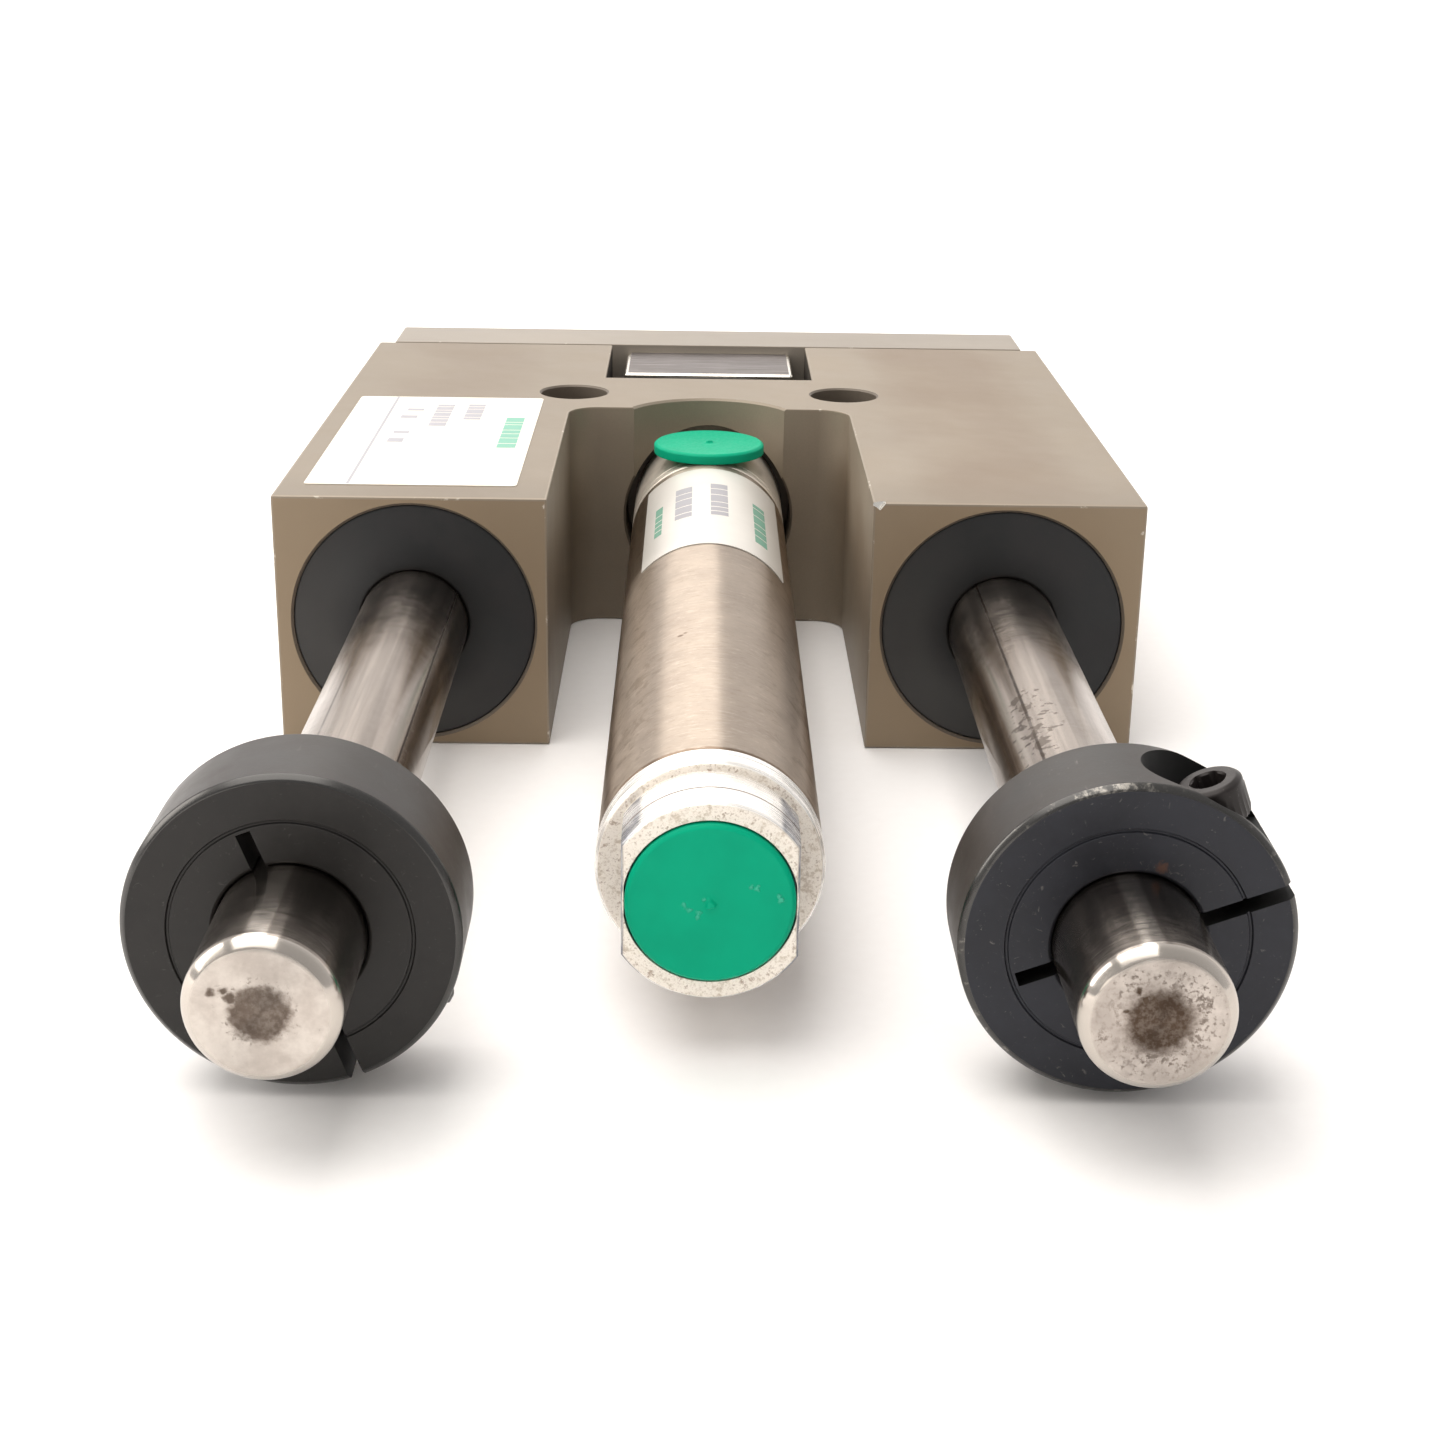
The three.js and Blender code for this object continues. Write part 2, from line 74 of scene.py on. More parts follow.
def soften(outline, steps=3):
    """A corner given as (radius, along, size) becomes a small curve that starts and ends size away."""
    points = []
    for i, corner in enumerate(outline):
        here = Vector(corner[:2])
        size = corner[2] if len(corner) > 2 else 0
        if not size:
            points.append(here)
            continue
        before = (Vector(outline[i - 1][:2]) - here).normalized() * size
        after = (Vector(outline[(i + 1) % len(outline)][:2]) - here).normalized() * size
        for k in range(steps + 1):
            t = k / steps
            points.append(here + before * (1 - t) ** 2 + after * t**2)
    return points


def angles_of(count, extra=()):
    return sorted({round(TURN * i / count, 9) for i in range(count)} | {a % TURN for a in extra})


ROUND = angles_of(120)
FINE = angles_of(72)


def turned(profile, angles=ROUND, material=0):
    """A closed outline turned about the Y axis. The outline may be a function of the angle."""
    bm = bmesh.new()
    columns = [soften(profile(a) if callable(profile) else profile) for a in angles]
    rings = []
    for row in zip(*columns):
        if max(point[0] for point in row) < 1e-6:
            rings.append([bm.verts.new((0, row[0][1], 0))])
        else:
            rings.append(
                [bm.verts.new((r * math.cos(a), y, r * math.sin(a))) for a, (r, y) in zip(angles, row)]
            )
    for one, two in zip(rings, rings[1:] + rings[:1]):
        for i in range(len(angles)):
            j = i + 1
            around = [one[i % len(one)], one[j % len(angles) % len(one)]]
            around += [two[j % len(angles) % len(two)], two[i % len(two)]]
            corners = list(dict.fromkeys(around))
            if len(corners) > 2:
                bm.faces.new(corners).material_index = material
    bmesh.ops.recalc_face_normals(bm, faces=bm.faces)
    return bm


def prism(outline, low, high, bevel=0.0, segments=2, material=0, edge_material=0):
    """An outline in plan extruded in Z, its sharp edges bevelled."""
    bm = bmesh.new()
    base = bm.faces.new([bm.verts.new((x, y, low)) for x, y in outline])
    lifted = bmesh.ops.extrude_face_region(bm, geom=[base])["geom"]
    bmesh.ops.translate(bm, verts=[v for v in lifted if isinstance(v, bmesh.types.BMVert)], vec=(0, 0, high - low))
    bmesh.ops.recalc_face_normals(bm, faces=bm.faces)
    for face in bm.faces:
        face.material_index = material
    if bevel:
        edges = [e for e in bm.edges if e.calc_face_angle(0) > SHARP]
        bmesh.ops.bevel(
            bm,
            geom=edges,
            offset=bevel,
            segments=segments,
            profile=0.6,
            affect="EDGES",
            clamp_overlap=True,
            material=edge_material,
        )
    return bm


def slab(x0, x1, y0, y1, z0, z1, **options):
    return prism([(x0, y0), (x1, y0), (x1, y1), (x0, y1)], z0, z1, **options)


def moved(bm, x=0.0, y=0.0, z=0.0, matrix=None):
    bmesh.ops.transform(bm, verts=bm.verts, matrix=Matrix.Translation((x, y, z)) @ (matrix or Matrix()))
    return bm


def joined(*parts):
    """Several meshes as one, each keeping its own material numbers."""
    whole = bmesh.new()
    for part in parts:
        mesh = bpy.data.meshes.new("part")
        part.to_mesh(mesh)
        part.free()
        whole.from_mesh(mesh)
        bpy.data.meshes.remove(mesh)
    return whole


def scratch_object(bm, name="scratch"):
    mesh = bpy.data.meshes.new(name)
    bm.to_mesh(mesh)
    bm.free()
    made = bpy.data.objects.new(name, mesh)
    bpy.context.scene.collection.objects.link(made)
    return made


def carved(bm, cutters):
    """The mesh with each cutter taken away. Cut faces keep the cutter's material numbers."""
    target = scratch_object(bm)
    tools = [scratch_object(cutter) for cutter in cutters]
    for tool in tools:
        step = target.modifiers.new("carve", "BOOLEAN")
        step.operation = "DIFFERENCE"
        step.solver = "EXACT"
        step.object = tool
    shown = target.evaluated_get(bpy.context.evaluated_depsgraph_get())
    result = bmesh.new()
    result.from_mesh(shown.to_mesh())
    shown.to_mesh_clear()
    for made in [target, *tools]:
        mesh = made.data
        bpy.data.objects.remove(made)
        bpy.data.meshes.remove(mesh)
    bmesh.ops.remove_doubles(result, verts=result.verts, dist=1e-4)
    bmesh.ops.dissolve_degenerate(result, edges=result.edges, dist=1e-4)
    return result


def piece(name, bm, body, finishes, replaces):
    """The finished mesh as an object that rides on a body and stands for CAD nodes."""
    for face in bm.faces:
        face.smooth = True
    for edge in bm.edges:
        edge.smooth = len(edge.link_faces) == 2 and edge.calc_face_angle(0) < SHARP
    made = scratch_object(bm, name)
    made.data.transform(Matrix.Scale(MM, 4))
    for finish in finishes:
        made.data.materials.append(finish)
    weighted = made.modifiers.new("flat_faces", "WEIGHTED_NORMAL")
    weighted.mode = "FACE_AREA"
    weighted.keep_sharp = True
    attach(made, body)
    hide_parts(*replaces)
    return made


# Material building


def scaled(color, *factors):
    """A colour times one factor, or one for each channel, and never above 1."""
    return tuple(min(1, c * k) for c, k in zip(color, factors * 3))


class Finish:
    """A material in the making. Texture coordinates are millimetres in the row frame."""

    def __init__(self, name, color, metallic, roughness, **sockets):
        self.material = bpy.data.materials.new(name)
        self.material.use_nodes = True
        self.tree = self.material.node_tree
        self.shader = self.tree.nodes["Principled BSDF"]
        coordinates = self.tree.nodes.new("ShaderNodeTexCoord").outputs["Object"]
        self.place = self.vector("SCALE", coordinates, Scale=1 / MM)
        self.normal = None
        self.set("Base Color", color)
        self.set("Metallic", metallic)
        self.set("Roughness", roughness)
        for socket, value in sockets.items():
            self.set(socket.replace("_", " "), value)

    def plug(self, socket, value):
        if isinstance(value, bpy.types.NodeSocket):
            self.tree.links.new(value, socket)
        elif isinstance(value, (tuple, list)) and len(socket.default_value) == 4:
            socket.default_value = (*value[:3], 1)
        else:
            socket.default_value = value

    def set(self, name, value):
        self.plug(self.shader.inputs[name], value)
        return self

    def node(self, kind, inputs, output=0, **settings):
        made = self.tree.nodes.new("ShaderNode" + kind)
        for key, value in settings.items():
            setattr(made, key, value)
        for key, value in inputs.items():
            self.plug(made.inputs[key], value)
        return made.outputs[output]

    def math(self, operation, a, b=0.0, clamp=False):
        return self.node("Math", {0: a, 1: b}, operation=operation, use_clamp=clamp)

    def times(self, first, *factors):
        for factor in factors:
            first = self.math("MULTIPLY", first, factor)
        return first

    def plus(self, a, b):
        return self.math("ADD", a, b)

    def most(self, a, b):
        return self.math("MAXIMUM", a, b)

    def apart(self, a, b):
        return self.math("ABSOLUTE", self.math("SUBTRACT", a, b))

    def vector(self, operation, a, b=None, output=0, **inputs):
        sockets = {0: a, **inputs}
        if b is not None:
            sockets[1] = b
        return self.node("VectorMath", sockets, output=output, operation=operation)

    def noise(self, size, detail=2.0, roughness=0.5, distortion=0.0, stretch=(1, 1, 1), shift=0.0):
        """Noise whose features are about size millimetres, longer where stretch is small."""
        place = self.vector("MULTIPLY", self.place, stretch)
        if shift:
            place = self.vector("ADD", place, (shift, shift, shift))
        inputs = {
            "Vector": place,
            "Scale": 1 / size,
            "Detail": detail,
            "Roughness": roughness,
            "Distortion": distortion,
        }
        return self.node("TexNoise", inputs)

    def step(self, value, low, high, start=0.0, end=1.0):
        """start below low, end above high, smooth in between."""
        inputs = {"Value": value, "From Min": low, "From Max": high, "To Min": start, "To Max": end}
        return self.node("MapRange", inputs, interpolation_type="SMOOTHSTEP")

    def fade(self, value, low, high, start=1.0):
        """start below low, nothing above high."""
        return self.step(value, low, high, start, 0.0)

    def mix(self, share, a, b):
        return self.node("Mix", {0: share, 6: a, 7: b}, output=2, data_type="RGBA")

    def radius(self, x, z):
        """Distance from an axis along Y through (x, z)."""
        flat = self.vector("MULTIPLY", self.vector("SUBTRACT", self.place, (x, 0, z)), (1, 0, 1))
        return self.vector("LENGTH", flat, output=1)

    def distance(self, x, y, z):
        return self.vector("LENGTH", self.vector("SUBTRACT", self.place, (x, y, z)), output=1)

    def along(self, axis):
        return self.node("SeparateXYZ", {0: self.place}, output="XYZ".index(axis))

    def angle(self, x, z):
        """Degrees about an axis along Y, from +X towards +Z."""
        across = self.math("SUBTRACT", self.along("X"), x)
        up = self.math("SUBTRACT", self.along("Z"), z)
        return self.times(self.math("ARCTAN2", up, across), 360 / TURN)

    def bump(self, height, depth, strength=1.0):
        """Adds relief: height 0 to 1 stands for depth millimetres."""
        inputs = {"Height": height, "Distance": depth * MM, "Strength": strength}
        if self.normal is not None:
            inputs["Normal"] = self.normal
        self.normal = self.node("Bump", inputs)
        self.set("Normal", self.normal)
        return self


def anodised(name, color, seed=0.0, stains_and_shade=False, nicks=()):
    """Satin anodised aluminium: a fine matt grain, faint milling lines and slow colour drift. The block's version adds
    oil stains with painted shade round the rod bores, painted shade towards -X and near the front, and a warmer tone on
    its front faces.
    """
    dark = scaled(color, 0.95)
    light = scaled(color, 1.04)
    f = Finish(name, color, 0.3, 0.5)
    drift = f.noise(18, detail=3, roughness=0.55, shift=seed)
    grain = f.noise(0.25, detail=2, shift=seed)
    lines = f.noise(0.35, detail=2, stretch=(0.04, 1, 1), shift=seed)
    tone = f.mix(f.step(drift, 0.3, 0.7), dark, light)
    tone = f.mix(f.step(grain, 0.25, 0.75, 0.0, 0.14), tone, scaled(color, 0.6))
    if stains_and_shade:
        # Oil stains round the rod bores, partly painted shade: darker brown close to each bore.
        for side in ROD_X:
            reach = f.plus(f.radius(ROD_X[side], AXIS_Z), f.times(drift, 9))
            oil_stain_and_shade = f.fade(reach, 18.5, 24.0, 0.55)
            tone = f.mix(oil_stain_and_shade, tone, scaled(color, 0.66, 0.53, 0.42))
        # Painted shade: darker towards -X and near the front of the block.
        painted_shade = f.fade(f.along("X"), -35, 20, 0.45)
        painted_shade = f.plus(painted_shade, f.fade(f.along("Y"), FRONT + 0.5, FRONT + 14, 0.3))
        tone = f.mix(painted_shade, tone, scaled(color, 0.68))
        # Front faces get a warmer tone.
        front_face_tint = f.fade(f.along("Y"), FRONT + 0.3, FRONT + 0.6, 0.65)
        tone = f.mix(front_face_tint, tone, scaled(color, 1.08, 0.97, 0.80))
    for x, y, z, size in nicks:
        ragged = f.plus(f.distance(x, y, z), f.times(grain, 0.5))
        tone = f.mix(f.fade(ragged, size, size + 0.3, 0.9), tone, (0.8, 0.75, 0.68))
    scuff = f.noise(2.2, detail=6, roughness=0.75, distortion=1.2, shift=seed + 3)
    tone = f.mix(f.step(scuff, 0.70, 0.78, 0.0, 0.2), tone, scaled(color, 1.4))
    f.set("Base Color", tone)
    f.set("Roughness", f.step(f.noise(9, detail=4, shift=seed + 1), 0.3, 0.7, 0.48, 0.53))
    f.bump(grain, 0.005).bump(lines, 0.001)
    return f.material


def worn_edge(name, color, bare, low=0.60, high=0.70):
    """An edge where the coating is rubbed through in places."""
    f = Finish(name, color, 0.55, 0.44)
    rubbed = f.step(f.noise(1.6, detail=5, roughness=0.7, stretch=(0.6, 0.6, 0.6)), low, high)
    f.set("Base Color", f.mix(rubbed, color, bare))
    f.bump(f.noise(0.4, detail=3), 0.006)
    return f.material


def machined(name, color, roughness=0.3, lines=(0.05, 1, 0.05), size=0.12, metallic=1.0, depth=0.004):
    """Freshly cut metal with fine tool marks."""
    f = Finish(name, color, metallic, roughness)
    marks = f.noise(size, detail=3, stretch=lines)
    drift = f.noise(4, detail=4, roughness=0.6)
    f.set("Base Color", f.mix(f.step(drift, 0.35, 0.7), scaled(color, 0.86), color))
    f.set("Roughness", f.step(marks, 0.3, 0.7, roughness * 0.8, roughness * 1.25))
    f.bump(marks, depth)
    return f.material


def painted_recess_shade():
    """Matt dark walls down in the notch, painted shade in patches of slightly different tone."""
    f = Finish("anodised_recess_shade", (0.02, 0.017, 0.014), 0.0, 0.75)
    f.set("Specular IOR Level", 0.08)
    mottle = f.noise(3, detail=4, roughness=0.6)
    f.set("Base Color", f.mix(f.step(mottle, 0.3, 0.7), (0.034, 0.029, 0.024), (0.046, 0.039, 0.032)))
    f.bump(f.noise(0.3, detail=2), 0.004)
    return f.material


NICKS = [(24.2, FRONT, 23.9, 0.3), (50.8, FRONT + 0.2, 27.3, 0.3), (-19.2, FRONT, 29.6, 0.35)]
ANODISED = (0.255, 0.208, 0.155)
CHARCOAL = (0.042, 0.041, 0.042)

block_finishes = [
    anodised("anodised_block", ANODISED, stains_and_shade=True, nicks=NICKS),
    worn_edge("block_edges", (0.26, 0.214, 0.162), (0.60, 0.54, 0.46)),
    # Darker bore walls: painted shade in the bores.
    anodised("anodised_bores", (0.13, 0.105, 0.08), seed=5.0),
    machined("chipped_metal", (0.9, 0.87, 0.82), 0.25, size=0.3, depth=0.02),
    painted_recess_shade(),
]
MAIN, EDGE, BORE, CHIP, RECESS = range(5)


# Bearing block


def block_outline():
    inner, outer, notch, radius = 19.05, BLOCK_HIGH.x, 15.0, 4.0
    corner_y = WEB_FRONT - radius

    def fillet(x, start, end):
        turns = [start + (end - start) * i / 10 for i in range(11)]
        return [(x + radius * math.cos(a), corner_y + radius * math.sin(a)) for a in turns]

    points = [(-outer, FRONT), (-inner, FRONT)]
    points += fillet(radius - inner, math.pi, math.pi / 2)
    points += fillet(inner - radius, math.pi / 2, 0)
    points += [(inner, FRONT), (outer, FRONT), (outer, BACK)]
    points += [(notch, BACK), (notch, WEB_BACK), (-notch, WEB_BACK), (-notch, BACK), (-outer, BACK)]
    return points


def drilled(radius, start, end, mouth=0.3, floor=0.0, finish=BORE, angles=ROUND):
    """A cutter along +Y for a hole that opens at start, with a small chamfer at its mouth."""
    flare = mouth + 1
    into = 1 if end > start else -1
    return turned(
        [
            (0, start - into), (radius + flare, start - into), (radius, start + into * mouth),
            (radius, end, floor), (0, end),
        ],
        angles,
        finish,
    )


UPRIGHT = Matrix.Rotation(math.pi / 2, 4, "X")  # turns +Y to +Z


def build_block():
    low, high = BLOCK_LOW, BLOCK_HIGH
    bm = prism(block_outline(), low.z, high.z, bevel=0.28, segments=2, edge_material=EDGE)
    # The notch walls take the dark recess finish: painted shade.
    for face in bm.faces:
        middle = face.calc_center_median()
        if abs(middle.x) < 15.1 and middle.y > WEB_BACK - 0.1 and abs(face.normal.z) < 0.1:
            face.material_index = RECESS
    cutters = []
    for side in ROD_X:
        for start, into in ((FRONT, 1), (BACK, -1)):
            cutters.append(moved(drilled(SEAL_BORE, start, start + into * 5.1), ROD_X[side], 0, AXIS_Z))
        cutters.append(moved(drilled(11.15, FRONT + 4, BACK - 4, mouth=0), ROD_X[side], 0, AXIS_Z))
    cutters.append(moved(drilled(11.5, WEB_FRONT - 0.01, FRONT + 58, mouth=0.3, floor=0.3), 0, 0, AXIS_Z))
    cutters.append(moved(drilled(8.1, WEB_BACK + 0.01, FRONT + 57), 0, 0, AXIS_Z))
    cutters.append(moved(drilled(11.75, -high.z, -AXIS_Z, finish=MAIN), 0, FRONT + 45.2, 0, UPRIGHT.inverted()))
    for x in (-19.05, 19.05):
        head = drilled(4.66, -high.z, 5.3 - high.z, mouth=0.25, angles=FINE)
        cutters.append(moved(head, x, 0, 0, UPRIGHT.inverted()))
        cutters.append(moved(drilled(2.6, 0, high.z - 5, mouth=0.25, angles=FINE), x, 0, 0, UPRIGHT))
    chip = slab(-0.75, 1.0, -1.0, 0.4, -0.4, 1.0, material=CHIP, edge_material=CHIP)
    tilt = Matrix.Rotation(math.radians(38), 4, "Y") @ Matrix.Rotation(math.radians(-32), 4, "X")
    cutters.append(moved(chip, 19.3, FRONT + 0.2, high.z + 0.05, tilt))
    return carved(bm, cutters)


piece("block", build_block(), "housing", block_finishes, ["bearing_block"])


# Wiper seals


def rubber(name, seed):
    f = Finish(name, (0.014, 0.014, 0.015), 0.0, 0.55, IOR=1.5)
    f.set("Specular IOR Level", 0.36)
    dust = f.noise(0.35, detail=3, roughness=0.8, shift=seed)
    drift = f.noise(6, detail=3, shift=seed)
    tone = f.mix(f.step(drift, 0.35, 0.7), (0.011, 0.012, 0.013), (0.019, 0.018, 0.019))
    for side in ROD_X:
        # Painted light: lighter towards the lower left of each seal.
        leftwards = f.math("SUBTRACT", ROD_X[side], f.along("X"))
        lower_left = f.plus(leftwards, f.math("SUBTRACT", AXIS_Z, f.along("Z")))
        painted_light_lower_left = f.times(f.step(lower_left, -12, 16), f.fade(f.radius(ROD_X[side], AXIS_Z), 14, 16, 0.8))
        tone = f.mix(painted_light_lower_left, tone, (0.040, 0.038, 0.036))
        # Darker close to the rod: oil, and painted shade at the lip.
        oil_and_shade_at_lip = f.fade(f.radius(ROD_X[side], AXIS_Z), 6.4, 11.0, 0.85)
        tone = f.mix(oil_and_shade_at_lip, tone, (0.003, 0.003, 0.0035))
    f.set("Base Color", f.mix(f.step(dust, 0.7, 0.8, 0.0, 0.5), tone, (0.12, 0.11, 0.10)))
    f.set("Roughness", f.step(drift, 0.3, 0.7, 0.42, 0.62))
    f.bump(dust, 0.012)
    return f.material


def build_seal():
    """Face at y = 0, looking towards -Y: a flat rim that rises gently to a lip on the rod.

    The lip stays behind the stop collars, which end 0.2 mm off the block at full stroke.
    """
    return turned(
        [
            (6.4, 4.7), (6.4, -0.1, 0.08), (6.62, -0.34, 0.1), (7.3, -0.3, 0.25), (9.8, -0.03, 1.2),
            (14.05, 0.0, 0.15), (14.26, 0.16, 0.1), (14.26, 4.7),
        ]
    )


for number, (end, facing) in enumerate((("front", 1), ("rear", -1))):
    for side in ROD_X:
        low, high, _ = span(f"wiper_seal_{end}_{side}")
        face = low.y if facing > 0 else high.y
        spin = Matrix.Rotation(0 if facing > 0 else math.pi, 4, "X")
        shape = moved(build_seal(), ROD_X[side], face, AXIS_Z, spin)
        finish = rubber(f"seal_rubber_{end}_{side}", 11.0 * number + ROD_X[side])
        piece(f"seal_{end}_{side}", shape, "housing", [finish], [f"wiper_seal_{end}_{side}"])


# Guide rods


def rod_steel(side, marks):
    """Ground and polished steel with a rusty centre on its end face, wear marks and dark lines along its length, and on
    its stub a grease film that is partly a painted dark reflection, with a painted highlight streak.
    """
    x, y_end = ROD_X[side], span(f"guide_rod_{side}")[0].y
    f = Finish(f"rod_steel_{side}", (0.40, 0.345, 0.30), 1.0, 0.24, Anisotropic=0.85, Anisotropic_Rotation=0.25)
    shift = 40.0 if side == "left" else 90.0
    streak = f.noise(1.1, detail=4, roughness=0.6, stretch=(1, 0.02, 1), shift=shift)
    haze = f.noise(3.5, detail=5, roughness=0.65, stretch=(1, 0.45, 1), shift=shift)
    ground = f.noise(0.16, detail=2, stretch=(0.06, 1, 0.06), shift=shift)
    tone = f.mix(f.step(streak, 0.35, 0.65), (0.27, 0.235, 0.206), (0.38, 0.332, 0.294))
    tone = f.mix(f.step(haze, 0.5, 0.75, 0.0, 0.2), tone, (0.25, 0.21, 0.18))
    radius = f.radius(x, AXIS_Z)
    angle = f.angle(x, AXIS_Z)
    # Grease film on the stub, partly a painted dark reflection; a painted highlight streak runs along it at the angle
    # given by streak.
    grease_and_dark_reflection = f.fade(f.along("Y"), y_end + 14, y_end + 15, 0.45)
    off_painted_highlight = f.apart(angle, marks["streak"])
    painted_highlight_streak = f.times(f.fade(off_painted_highlight, 5, 10), f.step(grease_and_dark_reflection, 0.1, 0.4))
    grease_and_dark_reflection = f.times(grease_and_dark_reflection, f.step(off_painted_highlight, 5, 12, 0.0, 1.0))
    tone = f.mix(f.times(grease_and_dark_reflection, f.step(haze, 0.3, 0.6, 0.75, 1.0)), tone, (0.085, 0.078, 0.072))
    tone = f.mix(f.times(painted_highlight_streak, 0.7), tone, (0.58, 0.53, 0.48))
    end_face = f.fade(f.along("Y"), y_end + 0.02, y_end + 0.12)
    chamfer = f.fade(f.along("Y"), y_end + 0.9, y_end + 1.1)
    tone = f.mix(chamfer, tone, (0.50, 0.455, 0.41))
    tone = f.mix(end_face, tone, f.mix(f.step(haze, 0.35, 0.7), marks["face"][0], marks["face"][1]))
    specks = f.noise(0.45, detail=4, roughness=0.65, shift=shift)
    spread = f.plus(radius, f.times(f.noise(0.8, detail=5, roughness=0.7, shift=shift), marks["spread"]))
    core = f.fade(spread, marks["core"], marks["core"] + marks["fade"])
    rust = f.times(core, f.step(specks, 0.4, 0.7, 1.0, 0.8))
    around = f.fade(radius, marks["reach"] * 0.5, marks["reach"])
    loose = f.step(f.plus(specks, f.times(around, 0.15)), 0.58, 0.74, 0.0, 0.75)
    loose = f.times(loose, f.times(f.step(around, 0.0, 0.25), f.step(haze, 0.4, 0.58, 0.25, 1.0)))
    rust = f.most(rust, f.times(loose, 0.8))
    for dx, dz, size in marks["spots"]:
        near = f.distance(x + dx, y_end, AXIS_Z + dz)
        ragged = f.plus(near, f.times(f.noise(0.5, detail=3, shift=shift), 0.9))
        rust = f.most(rust, f.fade(ragged, size + 0.25, size + 0.65))
    rust = f.times(rust, marks["depth"], end_face)
    rust_tone = f.mix(f.step(specks, 0.35, 0.65), (0.125, 0.085, 0.062), (0.165, 0.120, 0.090))
    tone = f.mix(rust, tone, rust_tone)
    roughness = f.plus(f.step(haze, 0.35, 0.75, 0.0, 0.05), f.step(ground, 0.35, 0.65, 0.14, 0.19))
    between = f.step(f.along("Y"), y_end + 23, y_end + 25)
    for centre, width, dark in marks["lines"]:
        off = f.apart(angle, centre)
        broken = f.noise(5, detail=3, stretch=(0.2, 1, 0.2), shift=centre)
        line = f.times(f.fade(off, width * 0.4, width), f.step(broken, 0.3, 0.45, 0.5, 1))
        line = f.times(line, dark, between)
        tone = f.mix(line, tone, (0.035, 0.025, 0.02))
        roughness = f.plus(roughness, f.times(line, 0.1))
    for centre, reach, y0, y1 in marks["scuffs"]:
        off = f.apart(angle, centre)
        start, end = FRONT + y0, FRONT + y1
        here = f.times(f.fade(off, 0, reach), f.step(f.along("Y"), start, start + 8))
        here = f.times(here, f.fade(f.along("Y"), end - 4, end))
        pits = f.noise(1.0, detail=3, roughness=0.6, stretch=(0.8, 0.8, 0.8), shift=centre + 3)
        scuff = f.step(f.plus(pits, f.times(here, 0.17)), 0.66, 0.70)
        scuff = f.times(scuff, f.step(here, 0.0, 0.2))
        tone = f.mix(f.times(scuff, 0.7), tone, (0.05, 0.038, 0.03))
        roughness = f.plus(roughness, f.times(scuff, 0.15))
    rubbed = f.noise(1.3, detail=6, roughness=0.75, stretch=(0.6, 1, 0.6), distortion=1.5, shift=shift + 5)
    flecks = f.step(rubbed, 0.65, 0.72)
    tone = f.mix(f.times(flecks, 0.5), tone, (0.12, 0.10, 0.09))
    f.set("Base Color", tone)
    face_rough = f.step(specks, 0.3, 0.7, 0.34, 0.46)
    roughness = f.plus(roughness, f.times(end_face, 0.2))
    roughness = f.most(roughness, f.times(face_rough, end_face))
    f.set("Roughness", f.math("ADD", roughness, f.times(rust, 0.35), clamp=True))
    f.set("Tangent", f.node("Tangent", {}, direction_type="RADIAL", axis="Y"))
    f.bump(ground, 0.0006).bump(rust, 0.03).bump(f.times(specks, end_face), 0.008)
    return f.material


ROD_MARKS = {
    "left": {
        "core": 2.8,
        "fade": 0.9,
        "spread": 1.7,
        "reach": 3.6,
        "spots": [(-2.2, 1.35, 0.5), (-2.7, 1.9, 0.3), (-3.75, 1.85, 0.3)],
        "lines": [(33, 6, 0.55), (36, 1.6, 0.9), (114, 1.8, 0.45)],
        "scuffs": [],
        # streak: angle of the painted highlight streak on the stub
        "streak": 92,
        "depth": 0.82,
        "face": ((0.46, 0.41, 0.37), (0.61, 0.56, 0.51)),
    },
    "right": {
        "core": 3.0,
        "fade": 1.6,
        "spread": 2.2,
        "reach": 6.0,
        "spots": [(-1.9, 2.6, 0.3), (-1.3, 1.9, 0.35), (-2.7, 0.9, 0.2)],
        "lines": [(122, 2.0, 0.95), (128, 6, 0.25), (152, 3, 0.4)],
        "scuffs": [(121, 34, -62, -36)],
        # streak: angle of the painted highlight streak on the stub
        "streak": 97,
        "depth": 1.0,
        "face": ((0.40, 0.355, 0.32), (0.57, 0.515, 0.47)),
    },
}


def build_rod(side):
    low, high, middle = span(f"guide_rod_{side}")
    return moved(
        turned(
            [
                (0, low.y + 0.03), (1.2, low.y + 0.03, 0.2), (1.5, low.y, 0.15),
                (5.45, low.y, 0.28), (6.35, low.y + 0.9, 0.45), (6.35, high.y - 0.45),
                (5.9, high.y), (3.25, high.y), (3.25, high.y - 20), (0, high.y - 21.5),
            ]
        ),
        middle.x,
        0,
        AXIS_Z,
    )


for side, marks in ROD_MARKS.items():
    finish = rod_steel(side, marks)
    piece(f"rod_{side}", build_rod(side), "carriage", [finish], [f"guide_rod_{side}"])


# Stop collars and their screws


